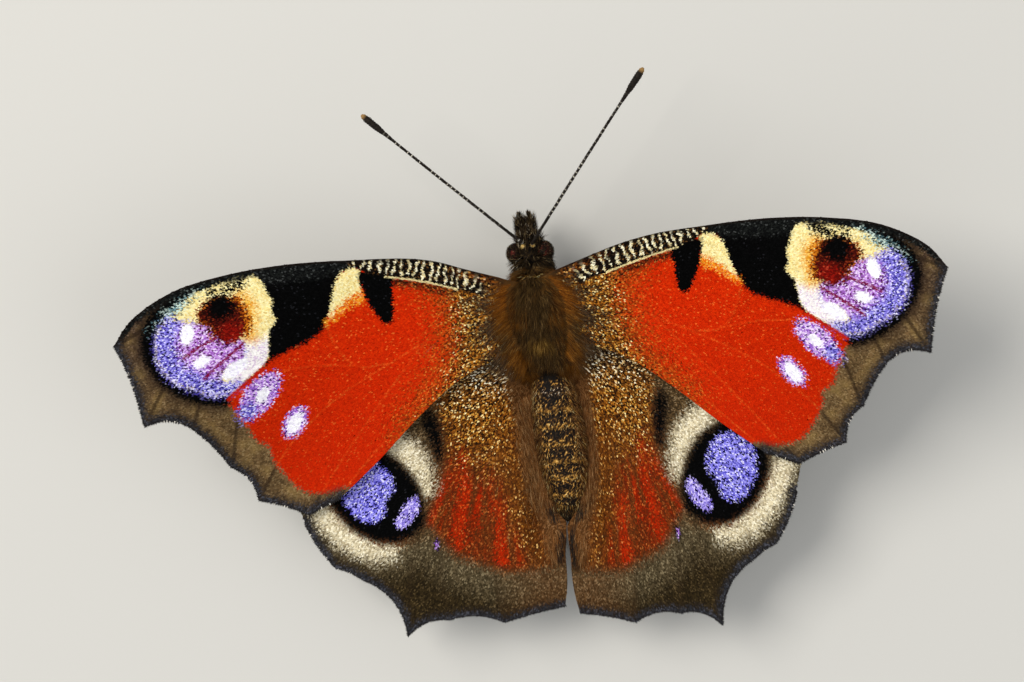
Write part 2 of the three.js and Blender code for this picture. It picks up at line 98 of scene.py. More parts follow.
def between(a, b, t):
    return tuple(mix(p, q, t) for p, q in zip(a, b))


def unit(v):
    return v / np.maximum(1e-9, np.linalg.norm(v, axis=1))[:, None]


HEAD_X = float(spine_x(4.85))
head_low, head_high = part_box("head")
SHIFT = np.array(((head_low.x + head_high.x) / 2 / MM - HEAD_X, head_low.y / MM - HEAD_REAR, 0.0))
print("layout moved by", SHIFT.round(3), "mm")

# %% [markdown]
# ## Small helpers
# Operators act on whatever is selected, so each step first selects exactly one piece. Points are read and
# written as whole arrays, which is how a shape is laid on a formula without a loop over its vertices.


# %% Selecting, moving and finishing pieces
def only(piece):
    """Selects this piece and nothing else."""
    if bpy.context.object and bpy.context.object.mode != "OBJECT":
        bpy.ops.object.mode_set(mode="OBJECT")
    bpy.ops.object.select_all(action="DESELECT")
    piece.select_set(True)
    bpy.context.view_layer.objects.active = piece


def points_of(piece):
    flat = np.empty(len(piece.data.vertices) * 3, np.float32)
    piece.data.vertices.foreach_get("co", flat)
    return flat.reshape(-1, 3).astype(float)


def set_points(piece, points):
    piece.data.vertices.foreach_set("co", np.asarray(points, np.float32).ravel())
    piece.data.update()


def apply_modifiers(piece):
    only(piece)
    for modifier in list(piece.modifiers):
        bpy.ops.object.modifier_apply(modifier=modifier.name)


def note(piece, name, values):
    """Stores a number or a vector for each vertex, for the materials to read."""
    values = np.asarray(values, np.float32)
    kind, field = ("FLOAT", "value") if values.ndim == 1 else ("FLOAT_VECTOR", "vector")
    layer = piece.data.attributes.new(name, kind, "POINT")
    layer.data.foreach_set(field, values.ravel())


def finish_piece(piece, name, materials, replaced=(), round_off=True):
    """Shrinks a piece from millimetres to the frame's metres and hands it to the frame."""
    set_points(piece, (points_of(piece) + SHIFT) * MM)
    piece.name = name
    piece.data.name = name
    for material in materials:
        if material.name not in piece.data.materials:
            piece.data.materials.append(material)
    if round_off:
        only(piece)
        bpy.ops.object.shade_smooth()
    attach(piece, "root")
    if replaced:
        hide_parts(*replaced)
    triangles = sum(len(p.vertices) - 2 for p in piece.data.polygons)
    print(f"{name}: {triangles} triangles")


def joined_mesh(name, corners, triangles, smooth_faces=True):
    """One mesh from arrays, for hundreds of like small things."""
    mesh = bpy.data.meshes.new(name)
    mesh.vertices.add(len(corners))
    mesh.vertices.foreach_set("co", np.asarray(corners, np.float32).ravel())
    mesh.loops.add(triangles.size)
    mesh.loops.foreach_set("vertex_index", triangles.astype(np.int32).ravel())
    mesh.polygons.add(len(triangles))
    mesh.polygons.foreach_set("loop_start", np.arange(0, triangles.size, 3, dtype=np.int32))
    mesh.polygons.foreach_set("use_smooth", np.full(len(triangles), smooth_faces))
    mesh.update(calc_edges=True)
    piece = bpy.data.objects.new(name, mesh)
    bpy.context.scene.collection.objects.link(piece)
    return piece


def bake_map(piece, per_corner):
    """The UV map named OFBake, for baking: one place for each vertex."""
    layer = piece.data.uv_layers.new(name="OFBake")
    index = np.empty(len(piece.data.loops), np.int32)
    piece.data.loops.foreach_get("vertex_index", index)
    layer.data.foreach_set("uv", np.asarray(per_corner, np.float32)[index].ravel())


def bake_spots(piece, home, spot):
    """A small patch of the map for each of many joined forms, at the form's own home on it."""
    bake_map(piece, (home[:, None] + spot[None]).reshape(-1, 2))


# %% [markdown]
# ## Lines and patches in the flat wing
# A wing is described flat: u runs out from the hinge, v runs forward, both in millimetres. Its outline and
# every marking are smooth loops through a few named points. What a marking needs is its distance field: how
# far inside or outside the loop a place is. Fields stay smooth between vertices, so the edge of a marking can
# be cut much finer than the mesh.


# %% Smooth lines and distance fields
def smooth_line(points, closed=False, per_span=12):
    """A centripetal Catmull-Rom line through the points."""
    p = np.asarray(points, float)
    if closed:
        p = np.vstack((p[-1], p, p[0], p[1]))
    else:
        p = np.vstack((2 * p[0] - p[1], p, 2 * p[-1] - p[-2]))
    out = []
    for p0, p1, p2, p3 in zip(p[:-3], p[1:-2], p[2:-1], p[3:]):
        d0, d1, d2 = (max(1e-6, math.sqrt(np.linalg.norm(b - a))) for a, b in ((p0, p1), (p1, p2), (p2, p3)))
        t1 = ((p1 - p0) / d0 - (p2 - p0) / (d0 + d1) + (p2 - p1) / d1) * d1
        t2 = ((p2 - p1) / d1 - (p3 - p1) / (d1 + d2) + (p3 - p2) / d2) * d1
        t = np.linspace(0, 1, per_span, endpoint=False)[:, None]
        out.append(p1 + t1 * t + (3 * (p2 - p1) - 2 * t1 - t2) * t**2 + (2 * (p1 - p2) + t1 + t2) * t**3)
    return np.vstack(out + [p[-2:-1]]) if not closed else np.vstack(out)


def by_length(line, t):
    """Points at the given shares of a line's length."""
    run = np.concatenate(([0], np.cumsum(np.linalg.norm(np.diff(line, axis=0), axis=1))))
    return np.stack([np.interp(np.asarray(t) * run[-1], run, line[:, k]) for k in range(line.shape[1])], -1)


def to_line(uv, line):
    """Distance to the nearest place of an open line."""
    best = np.full(len(uv), 1e9)
    for a, b in zip(line[:-1], line[1:]):
        d = b - a
        t = np.clip(((uv - a) @ d) / max(1e-12, d @ d), 0, 1)
        best = np.minimum(best, np.linalg.norm(uv - a - t[:, None] * d, axis=1))
    return best


def is_inside(uv, loop):
    hit = np.zeros(len(uv), bool)
    for (x0, y0), (x1, y1) in zip(loop, np.roll(loop, -1, axis=0)):
        if y0 == y1:
            continue
        crosses = (y0 > uv[:, 1]) != (y1 > uv[:, 1])
        hit ^= crosses & (uv[:, 0] < (x1 - x0) * (uv[:, 1] - y0) / (y1 - y0) + x0)
    return hit


def patch(uv, points):
    """Distance to a closed loop, positive inside."""
    loop = smooth_line(points, closed=True, per_span=6)
    distance = to_line(uv, np.vstack((loop, loop[:1])))
    return np.where(is_inside(uv, loop), distance, -distance)


def oval(uv, start, end, width):
    """Distance to an oval with its long axis from start to end, positive inside."""
    start, end = np.array(start), np.array(end)
    half = np.linalg.norm(end - start) / 2
    axis = (end - start) / (2 * half)
    off = uv - (start + end) / 2
    a = off @ axis / half
    b = (off @ np.array((-axis[1], axis[0]))) / (width / 2)
    return (1 - np.hypot(a, b)) * width / 2


# %% [markdown]
# ## Outline and pose of the wings
# The outer margin runs from vein end to vein end, with a shallow bay between two ends. The hooked tip of the
# forewing and the short tail of the hindwing are vein ends that stand out. The pose values lay each flat wing
# beside the body and tilt it up from its hinge, as the solids do.

# %% Wing outlines, veins and pose
FOREWING = {
    "root": [(2.5, -1.5), (2.5, 3.1)],
    "costa": [(5.2, 4.45), (8.5, 5.3), (13.0, 5.66), (18.0, 5.8), (22.5, 5.45), (26.2, 4.65), (29.2, 3.0)],
    "ends": [(30.43, 1.48), (28.7, -4.2), (25.45, -4.8), (23.4, -7.8), (21.85, -10.4), (18.2, -11.75),
             (15.7, -10.75)],
    "bays": [0.22, 0.5, 0.12, 0.42, 0.08, 0.06],
    "rear": [(12.6, -8.35), (9.5, -5.7), (6.6, -3.55)],
    "veins": [
        [(2.8, 2.6), (7.0, 4.55), (11.0, 5.25), (14.0, 5.6)],
        [(2.8, 2.0), (6.0, 3.5), (10.5, 4.45), (14.0, 4.45), (20.0, 4.75), (25.0, 4.3), (27.6, 3.7)],
        [(14.0, 4.45), (17.0, 5.2), (19.8, 5.65)],
        [(18.0, 4.7), (21.0, 5.1), (23.4, 5.25)],
        [(20.0, 4.75), (24.0, 3.6), (28.0, 2.4), (30.1, 1.5)],
        [(14.0, 4.45), (15.3, 2.7), (15.0, 0.2), (13.6, -1.6), (11.2, -1.7)],
        [(15.3, 2.7), (19.0, 2.2), (23.1, 1.1), (26.5, -1.0), (28.45, -3.9)],
        [(15.3, 1.3), (18.5, 1.2), (21.9, 0.34), (24.2, -2.0), (25.3, -4.5)],
        [(13.6, -1.6), (17.2, -1.3), (20.4, -1.9), (22.2, -4.3), (23.2, -7.5)],
        [(2.8, 1.0), (6.0, 0.5), (11.2, -1.7), (15.5, -3.9), (19.2, -6.9), (21.6, -10.0)],
        [(8.6, -0.6), (12.0, -4.2), (15.2, -7.9), (18.0, -11.4)],
        [(2.8, -0.9), (6.2, -2.2), (10.0, -5.2), (13.2, -8.1), (15.6, -10.4)]],
}
HINDWING = {
    "root": [(2.65, -3.1), (2.65, -0.6)],
    "costa": [(6.0, 0.25), (10.0, -0.7), (14.0, -3.4), (17.3, -7.2), (18.6, -10.4)],
    "ends": [(18.0, -13.3), (16.1, -16.9), (14.2, -18.0), (11.55, -22.45), (8.5, -21.45), (4.8, -21.95),
             (0.5, -21.05)],
    "bays": [-0.2, 0.1, 0.75, 0.45, 0.4, 0.06],
    "rear": [(0.22, -19.4), (0.22, -17.4), (0.55, -15.6), (1.45, -13.9), (2.15, -11.6), (2.35, -9.0),
             (2.3, -6.4)],
    "veins": [
        [(2.95, -1.0), (6.5, -1.2), (11.0, -3.2), (15.0, -7.2), (17.6, -11.6)],
        [(4.4, -1.2), (8.8, -4.8), (13.4, -9.4), (16.2, -13.2), (17.6, -13.2)],
        [(8.8, -4.8), (12.2, -9.8), (14.8, -14.6), (15.95, -16.6)],
        [(8.4, -6.2), (11.4, -11.4), (13.2, -15.4), (14.1, -17.7)],
        [(7.4, -9.0), (9.6, -13.6), (11.0, -18.6), (11.45, -22.1)],
        [(3.0, -2.0), (5.8, -6.2), (7.4, -9.0), (8.3, -13.4), (8.7, -17.6), (8.5, -21.2)],
        [(4.7, -4.6), (5.6, -9.4), (5.6, -14.6), (5.1, -18.6), (4.8, -21.7)],
        [(3.0, -2.8), (3.5, -7.4), (3.4, -12.2), (2.3, -17.2), (0.75, -20.8)]],
}
POSE = {
    "forewing_right": {"rise": 16.5, "across": (0.954, -0.011, 0.108), "ahead": (0.0105, 1.005, 0.012)},
    "forewing_left": {"rise": 14.0, "across": (0.966, -0.034, 0.311), "ahead": (0.003, 1.053, -0.403)},
    "hindwing_right": {"rise": 7.0, "across": (0.9605, 0.003, -0.067), "ahead": (-0.003, 1.0435, 0.28)},
    "hindwing_left": {"rise": 3.5, "across": (1.048, -0.005, 0.023), "ahead": (0.0015, 0.991, -0.229)},
}
FOREWING_HINGE_Z, HINDWING_HINGE_Z, HINGE_X = 7.2, 5.8, 2.6
OVERLAP_LIFT, ROOT_LIFT = 1.15, 0.25
GAP, ROOT_THICKNESS = 0.3, 0.9
ROOT_REACH = 1.2
WING_THICKNESS = 0.13
FOREWING_TOP, HINDWING_TOP = 0.05, 0.2
VEIN_HEIGHT, VEIN_HALF_WIDTH = 0.05, 0.13
PLEAT_HEIGHT, PLEAT_HALF_WIDTH = 0.11, 0.75


def thorax_half_at(y, z):
    scale = along(THORAX_SHAPE, y)
    t = np.minimum(0.98, np.abs(z - THORAX_Z) / (THORAX_HALF_HEIGHT * scale))
    return THORAX_HALF_WIDTH * scale * (1 - t**THORAX_ROUNDNESS) ** (1 / THORAX_ROUNDNESS)


def hindwing_z(x, y, rise):
    r = np.maximum(0, np.abs(x) - HINGE_X)
    behind = np.maximum(0, -y - 8)
    return HINDWING_HINGE_Z + math.tan(math.radians(rise)) * r - 0.0015 * r * r - 0.0035 * behind * behind


def forewing_z(x, y, rise, rise_under):
    r = np.maximum(0, np.abs(x) - HINGE_X)
    top = FOREWING_HINGE_Z + math.tan(math.radians(rise)) * r
    low = hindwing_z(x, y, rise_under) + OVERLAP_LIFT + ROOT_LIFT * np.exp(-r / 2)
    slant = math.atan2(10.5, 15)
    ahead = (y + 1.2) * math.cos(slant) + (np.abs(x) - 3) * math.sin(slant)
    return mix(low, top, smooth(ahead / 13 + 0.02))


def gutter(lateral, y):
    """Depth of the hindwing's trough beside the abdomen, which runs on under the abdomen's flank."""
    across = np.where(lateral < 1.9, 1.0, np.exp(-(((lateral - 1.9) / 0.9) ** 2)))
    depth = 1.1 + 0.15 * np.exp(-(((y + 14.6) / 1.4) ** 2))
    return depth * across * smooth((-y - 3.4) / 2) * (1 - smooth((-y - 14.8) / 4.2))


def on_wing(name, uv, lift=0.0):
    """Places flat wing points on the posed wing's upper face, in the layout's millimetres."""
    kind, side_name = name.split("_")
    side, pose = SIDES[side_name], POSE[name]
    shape = FOREWING if kind == "forewing" else HINDWING
    seat_z = FOREWING_HINGE_Z - ROOT_THICKNESS / 2 if kind == "forewing" else HINDWING_HINGE_Z
    root_u = shape["root"][0][0]
    u, v = uv[:, 0], uv[:, 1]
    across, ahead = pose["across"], pose["ahead"]
    lat = across[0] * u + across[1] * v + across[2]
    y = ahead[0] * u + ahead[1] * v + ahead[2]
    seat = thorax_half_at(np.clip(y, -3.6, 3.4), seat_z) + GAP
    near = 1 - smooth((u - root_u) / 3)
    on_thorax = smooth((v + 4.4) / 1.2)
    lateral = lat + (seat - (across[0] * root_u + across[1] * v + across[2])) * near * on_thorax
    x = side * lateral + spine_x(y) * (1 - smooth((u - 2.7) / 6))
    if kind == "forewing":
        z = forewing_z(x, y, pose["rise"], POSE["hindwing_" + side_name]["rise"]) + FOREWING_TOP
    else:
        z = hindwing_z(x, y, pose["rise"]) - gutter(lateral, y) + HINDWING_TOP
    return np.stack((x, y, z + lift), -1)


# %% [markdown]
# ## A wing from one grid
# A wing could be filled from its outline and cut up, but then its quads would run anyhow. Here one grid is
# stretched between the four edges: root, leading edge, outer margin and rear edge. Its rows run out along the
# veins, so the ridges and the pleats between them come out clean. The root reaches on into the body's fur.


# %% Stretching a grid into a wing
def edges_of(shape):
    root_rear, root_front = (np.array(p) for p in shape["root"])
    costa = smooth_line([root_front, *shape["costa"], shape["ends"][0]])
    rear = smooth_line([root_rear, *shape["rear"][::-1], shape["ends"][-1]])
    margin = [np.array(shape["ends"][0])]
    for a, b, bay in zip(shape["ends"][:-1], shape["ends"][1:], shape["bays"]):
        a, b = np.array(a), np.array(b)
        run = (b - a) / np.linalg.norm(b - a)
        inward = np.array((run[1], -run[0]))
        for t in np.linspace(0, 1, 17)[1:]:
            margin.append(mix(a, b, t) + inward * bay * math.sin(math.pi * min(t, 1 - 1e-9)) ** 0.8)
    return {"costa": costa, "rear": rear, "margin": np.array(margin[::-1]),
            "root": np.array([root_rear, root_front])}


def stretch(edges, s, t):
    """A place between the four edges: s runs out from the root, t from the rear edge to the leading edge."""
    rear, costa = by_length(edges["rear"], s), by_length(edges["costa"], s)
    root, margin = by_length(edges["root"], t), by_length(edges["margin"], t)
    s, t = s[:, None], t[:, None]
    corners = (mix(edges["rear"][0], edges["costa"][0], t) * (1 - s)
               + mix(edges["rear"][-1], edges["costa"][-1], t) * s)
    return mix(rear, costa, t) + mix(root, margin, s) - corners


def relief(uv, veins):
    """Ridge and pleat height of the membrane, and the distance to the nearest vein."""
    lines = [smooth_line(v, per_span=5) for v in veins]
    vein = np.min([to_line(uv, line) for line in lines], axis=0)
    taper = mix(1, 0.55, np.clip(uv[:, 0] / 24, 0, 1))
    ridge = VEIN_HEIGHT * np.clip(1 - vein / VEIN_HALF_WIDTH, 0, 1) * taper
    return ridge + PLEAT_HEIGHT * np.exp(-((vein / PLEAT_HALF_WIDTH) ** 2)), vein


GRID_OUT, GRID_ACROSS = 150, 130
rng = np.random.default_rng(59)


def rear_edge(v):
    """How far out the hindwing's rear edge runs beside the abdomen."""
    line = np.array([*HINDWING["rear"], HINDWING["root"][0]])
    return np.interp(v, line[:, 1], line[:, 0])


def tucked_edge(v):
    """Where the strip beside the abdomen ends, tucked against the abdomen's flank."""
    flank = np.maximum(0.06, ABDOMEN_HALF_WIDTH * along(ABDOMEN_SHAPE, v) - 0.4)
    share = smooth((-v - 2.6) / 0.8) * (1 - smooth((-v - 15.4) / 2.6))
    return mix(rear_edge(v), np.minimum(rear_edge(v), flank), share)


def wing_net(shape):
    """The flat points of a wing's grid, as the grid primitive orders them."""
    bpy.ops.mesh.primitive_grid_add(x_subdivisions=GRID_OUT, y_subdivisions=GRID_ACROSS, size=2)
    net = bpy.context.object
    st = (points_of(net)[:, :2] + 1) / 2
    edges = edges_of(shape)
    uv = stretch(edges, st[:, 0], st[:, 1])
    reach = np.exp(-np.maximum(0, uv[:, 0] - shape["root"][0][0]) / 0.5)
    if shape is HINDWING:
        rear = rear_edge(uv[:, 1])
        tuck = (rear - tucked_edge(uv[:, 1])) * np.exp(-np.maximum(0, uv[:, 0] - rear) / 0.7)
        uv[:, 0] -= np.maximum(tuck, ROOT_REACH * reach * smooth((uv[:, 1] + 3.1) / 0.6))
    else:
        uv[:, 0] -= ROOT_REACH * reach
    bpy.data.objects.remove(net)
    return uv


# %% [markdown]
# ## Markings of the forewing
# The peacock's forewing has a rust red field, a striped leading edge, a black wedge and a black patch with a
# cream patch between them, the great eyespot near the tip, two loose white spots and a brown margin. Each is
# one named field. Places were judged from the photograph and written down as sizes on the flat wing.


# %% Fields of the forewing
BAR_PITCH = 0.57
STRIPES_FROM = np.array([
    (2.6, 1.9), (4.7, 2.7), (6.3, 3.2), (7.6, 3.58), (8.8, 3.88), (10.8, 4.3), (12.2, 4.7), (13.2, 5.3)])


def forewing_fields(uv):
    u, v = uv[:, 0], uv[:, 1]
    height, vein = relief(uv, FOREWING["veins"])
    edges = edges_of(FOREWING)
    fields = {"vein": vein, "edge": to_line(uv, edges["margin"]), "front": to_line(uv, edges["costa"])}
    fields["base"] = patch(uv, [
        (-2, 7), (5.4, 6.4), (6.9, 3.9), (6.1, 2.4), (5.9, 0.6), (6.2, -1.4), (6.9, -3.3), (8.1, -4.9),
        (9.6, -7.0), (6, -10), (-2, -8)])
    fields["warm"] = fields["base"] + 1.5
    fields["margin"] = patch(uv, [
        (22.3, 5.3), (23.6, 4.7), (24.8, 4.4), (25.8, 3.9), (26.9, 3.1), (27.5, 2.3), (27.8, 1.3),
        (27.5, 0.1), (27.0, -0.7), (26.0, -1.5), (24.7, -2.2), (23.6, -2.8), (22.85, -3.3), (21.95, -4.6),
        (21.6, -5.5), (21.3, -6.15), (20.6, -6.6), (20.4, -7.4), (20.1, -8.1), (19.55, -8.9), (19.1, -9.5),
        (18.35, -10.05), (17.3, -10.3), (16.2, -10.3), (14.6, -10.1), (13.2, -14), (33, -14), (33, 7),
        (23, 7)])
    fields["black"] = patch(uv, [
        (13.9, 4.9), (14.1, 4.0), (14.4, 3.1), (14.8, 2.3), (15.35, 1.45), (16.1, 0.7), (17.1, 0.25),
        (18.2, -0.1), (19.2, -0.5), (20.1, -1.0), (21.4, -1.95), (22.5, -2.75), (22.9, -3.4), (24.0, -3.3),
        (25.8, -2.6), (27.05, -1.7), (27.95, -0.6), (28.45, 0.5), (28.5, 1.75), (28.05, 2.85), (27.2, 3.7),
        (25.9, 4.4), (24.6, 4.9), (22.4, 5.5), (20.5, 6.2), (13.6, 6.6)])
    fields["strip"] = patch(uv, [
        (12.4, 5.1), (14.8, 4.75), (17.1, 4.6), (20.0, 4.85), (20.6, 6.5), (12.4, 6.5)])
    fields["eyespot"] = patch(uv, [
        (20.6, 5.4), (19.75, 4.97), (19.3, 4.1), (19.0, 3.35), (19.05, 2.6), (18.8, 2.1), (19.3, 1.5),
        (19.5, 0.8), (19.6, -0.1), (19.95, -0.75), (20.65, -1.3), (21.65, -1.95), (22.6, -2.65),
        (23.9, -2.65), (25.0, -2.1), (26.1, -1.65), (26.8, -1.05), (27.3, -0.3), (27.5, 0.5), (27.55, 1.5),
        (27.2, 2.25), (26.65, 2.85), (26.0, 3.5), (25.1, 4.15), (24.3, 4.5), (23.2, 4.75), (22.0, 5.15)])
    fields["pale"] = patch(uv, [
        (18.4, 1.2), (19.8, 1.0), (21.0, 0.85), (22.4, 0.0), (22.6, -3.0), (20.0, -1.6)])
    fields["blue"] = patch(uv, [
        (23.4, 2.5), (24.2, 2.45), (24.9, 2.5), (25.6, 2.7), (26.2, 2.95), (26.9, 2.95), (28.8, 2.4),
        (28.6, -2.6), (24, -4.2), (21.4, -2.8), (21.6, -1.9), (22.9, -1.6), (22.3, -0.5), (21.5, -0.4),
        (21.2, 0.9), (22.2, 1.3), (23.0, 1.8)])
    fields["blue"] = np.minimum(fields["blue"], fields["eyespot"] + 0.06)
    fields["frost"] = oval(uv, (24.9, 4.1), (26.8, 2.8), 0.62)
    fields["violet"] = 1.6 - to_line(uv, np.array([(20.9, 0.3), (22.0, 0.4), (23.2, 0.2), (24.4, 1.0)]))
    fields["white"] = np.max([
        oval(uv, (25.0, 2.45), (25.4, 1.05), 0.95), oval(uv, (23.65, 0.02), (24.85, -0.38), 0.75),
        oval(uv, (21.1, -0.4), (22.95, -1.52), 0.9), oval(uv, (19.95, -2.5), (20.85, -3.4), 0.72),
        oval(uv, (17.95, -4.5), (18.98, -5.85), 0.9)], axis=0)
    fields["loose"] = np.maximum(
        oval(uv, (19.1, -1.55), (22.0, -4.3), 1.95), oval(uv, (17.65, -4.1), (19.2, -6.1), 1.45))
    fields["loose_blue"] = np.minimum(oval(uv, (21.1, -3.5), (22.3, -4.7), 1.2), fields["loose"] + 0.1)
    fields["maroon"] = patch(uv, [
        (22.0, 4.05), (22.9, 4.1), (23.8, 3.7), (24.35, 3.1), (24.3, 2.6), (23.6, 2.05), (23.3, 1.4),
        (22.8, 0.9), (22.0, 0.85), (21.3, 1.15), (20.95, 1.8), (21.05, 2.6), (21.3, 3.3), (21.6, 3.8)])
    fields["deep_red"] = 0.85 - np.hypot(u - 22.0, v - 1.5)
    fields["core"] = oval(uv, (21.65, 3.5), (23.75, 3.2), 1.85)
    smear = np.array([(22.6, 3.6), (22.3, 4.3), (21.7, 4.75), (21.2, 4.95)])
    short_smear = np.array([(23.0, 3.6), (23.3, 4.5)])
    fields["smear"] = np.maximum(0.34 - to_line(uv, smear), 0.2 - to_line(uv, short_smear))
    flush = np.array([(21.3, 3.9), (20.75, 3.4), (20.6, 2.7), (20.75, 1.8), (20.8, 1.2)])
    fields["flush"] = np.minimum(0.52 - to_line(uv, flush), (v - 0.9) * 0.8)
    fields["ember"] = np.minimum(fields["maroon"] + 0.12 + 0.3 * smooth((22.0 - u) / 0.8), (v - 1.2) * 0.8)
    fields["streak"] = np.minimum(
        to_line(uv, np.array([(21.2, 0.8), (21.9, 0.3), (23.1, -0.5), (24.2, -1.4)])),
        to_line(uv, np.array([(23.2, 1.3), (24.1, 0.9), (24.8, 0.6), (25.5, 0.15)])))
    fields["red_streak"] = to_line(uv, np.array([(20.1, -1.1), (21.4, -2.0), (22.4, -2.65), (22.8, -3.0)]))
    fields["cream_patch"] = patch(uv, [
        (12.6, 4.95), (13.6, 5.05), (14.2, 4.65), (14.6, 3.8), (14.85, 2.85), (15.1, 2.1), (15.35, 1.55),
        (14.8, 1.75), (14.0, 2.25), (13.3, 2.65), (12.6, 2.8), (12.6, 3.9)])
    low_edge = np.array([(12.3, 2.95), (13.2, 2.7), (14.2, 2.15), (15.3, 1.5)])
    fields["orange"] = np.minimum(
        0.72 - 0.17 * (u - 12.6) - to_line(uv, low_edge), fields["cream_patch"] + 0.1)
    fields["wedge"] = patch(uv, [
        (10.4, 4.3), (12.75, 4.75), (12.6, 3.8), (12.4, 3.05), (12.0, 2.2), (11.5, 1.4), (11.1, 1.05),
        (10.7, 1.15), (10.5, 1.8), (10.45, 3.0)])
    lower = along(STRIPES_FROM, u)
    fields["stripes"] = np.minimum(np.minimum(v - lower, (13.4 - u) * 0.7), (u - 3.6) * 0.5)
    wobble = 0.13 * np.sin(4.1 * v + 2.9 * u) + 0.1 * np.sin(7.7 * v - 5.3 * u) + 0.14 * np.sin(1.3 * u)
    beat = np.cos(2 * math.pi * ((u + 0.25 * v) / BAR_PITCH + wobble))
    fields["bars"] = beat - 0.7 * smooth(1 - (v - lower) / 0.35)
    fields["seam"] = np.where((u > 5.4) & (u < 10.9), np.abs(v - lower), 9.0)
    fields["under_seam"] = np.minimum(0.3 - np.abs(v - lower + 0.28), np.minimum(u - 6.4, 10.8 - u) * 0.3)
    fields["height"] = height
    return fields


# %% [markdown]
# ## Markings of the hindwing
# The hindwing is red brown with rust streaks and gold dusting near the body. Its eyespot is a blue heart in a
# black ring, with a smaller chip of lilac, inside a soft cream band. The rear margin is dull brown, and the
# strip beside the abdomen is bare brown under long hairs.


# %% Fields of the hindwing
def hindwing_fields(uv):
    u, v = uv[:, 0], uv[:, 1]
    height, vein = relief(uv, HINDWING["veins"])
    edges = edges_of(HINDWING)
    fields = {"vein": vein, "edge": to_line(uv, edges["margin"])}
    fields["dust"] = patch(uv, [
        (2.4, 0.5), (6.5, 0.3), (7.7, -3.5), (7.95, -5.6), (7.8, -6.8), (6.9, -7.9), (6.0, -9.0),
        (4.9, -10.1), (3.9, -11.2), (3.6, -13.5), (3.0, -15.6), (2.2, -17.0), (2.2, -13.5), (2.5, -9.0),
        (2.4, -5.0)])
    fields["gold"] = np.minimum(fields["dust"], v + 8.0 + 0.6 * (u - 4.5))
    fields["silver"] = np.minimum(fields["dust"], v + 4.6)
    rays = [(0.3, [(6.3, -8.8), (6.55, -11.5), (6.95, -13.5), (7.45, -15.9)]),
            (0.3, [(4.6, -13.0), (4.5, -14.6), (4.6, -17.3)]),
            (0.12, [(7.3, -9.6), (8.3, -12.2), (9.2, -14.0)]), (0.0, [(5.6, -11.8), (5.8, -14.6)]),
            (0.0, [(3.6, -15.0), (3.3, -17.6)])]
    fields["ray"] = np.max([half - to_line(uv, smooth_line(ray, per_span=5)) for half, ray in rays], axis=0)
    fields["rust"] = patch(uv, [
        (6.8, -8.0), (8.0, -10.5), (9.1, -13.0), (9.5, -14.2), (8.5, -15.4), (7.6, -16.6), (5.9, -17.4),
        (4.2, -18.0), (2.6, -17.7), (2.9, -15.0), (3.6, -12.1), (5.0, -9.8)])
    fields["rear"] = patch(uv, [
        (-2, -18.2), (1.3, -18.2), (4.1, -18.3), (5.9, -17.5), (7.6, -16.7), (8.6, -15.5), (9.4, -14.4),
        (10.2, -14.9), (11.9, -15.6), (14.5, -14.9), (16.2, -13.4), (17.3, -11.7), (17.6, -8.5), (22, -10),
        (20, -18), (14, -26), (-3, -26)])
    fields["far_rear"] = fields["rear"] - 2.0
    fields["olive"] = patch(uv, [
        (8.0, -5.0), (8.1, -8.5), (8.1, -10.2), (8.8, -12.2), (9.6, -14.2), (9.4, -15.2), (10.4, -15.3),
        (12.0, -12.0), (16.5, -12.0), (18.6, -10.5), (17.0, -6.5), (12.0, -2.0), (8.0, -3.0)])
    front_band = np.array([(14.5, -7.0), (12.4, -7.2), (11.1, -7.9), (10.2, -8.7), (9.6, -9.6), (9.25, -10.6),
                           (9.15, -11.6)])
    outer_band = np.array([(17.6, -9.0), (17.3, -11.4), (16.5, -13.1), (15.5, -14.45), (14.4, -15.35),
                           (13.1, -15.95), (11.9, -16.0)])
    fields["cream"] = np.maximum(0.78 - to_line(uv, front_band), 0.72 - to_line(uv, outer_band))
    fields["shade"] = np.minimum(np.hypot(u - 9.2, (v + 13.0) * 0.6), np.hypot((u - 10.4) * 0.7, v + 15.6))
    fields["ring"] = patch(uv, [
        (13.9, -8.2), (12.4, -8.5), (11.2, -9.2), (10.35, -10.3), (9.75, -11.5), (9.5, -12.8), (9.7, -14.1),
        (10.5, -14.8), (11.7, -15.15), (12.9, -15.0), (14.0, -14.45), (14.9, -13.6), (15.6, -12.5),
        (16.0, -11.3), (15.95, -10.0), (15.2, -8.8)])
    fields["blue"] = patch(uv, [
        (13.5, -8.95), (12.5, -9.15), (11.9, -9.7), (11.6, -10.3), (11.4, -11.0), (11.5, -11.6),
        (12.05, -12.1), (12.2, -12.9), (12.65, -13.6), (13.4, -13.75), (14.1, -13.4), (14.75, -12.6),
        (15.1, -11.8), (15.2, -10.8), (14.8, -9.8)])
    fields["chip"] = patch(uv, [
        (9.95, -11.95), (9.8, -12.9), (10.35, -13.8), (11.15, -14.35), (11.6, -14.1), (11.35, -13.3),
        (10.8, -12.6), (10.35, -12.1)])
    fields["mark"] = patch(uv, [
        (8.2, -6.1), (7.9, -7.0), (7.82, -8.0), (7.9, -9.0), (8.08, -9.5), (8.3, -8.7), (8.5, -8.0),
        (8.7, -7.3), (8.8, -6.6), (8.6, -6.0)])
    fields["dot"] = oval(uv, (8.78, -15.45), (8.83, -15.95), 0.19)
    fields["gutter"] = patch(uv, [
        (-0.8, -21), (-0.6, -15.5), (-0.4, -10), (0.2, -6), (1.0, -3), (2.8, -3), (2.75, -7), (2.65, -10.5),
        (2.2, -13.5), (1.6, -16.0), (1.1, -18.0), (0.7, -21)])
    angle = np.arctan2(u - 2.6, -(v + 1.0))
    fields["fan"] = np.stack((angle * 20, np.hypot(u - 2.6, v + 1.0) * 0.16, np.zeros(len(u))), -1)
    fields["height"] = height
    return fields


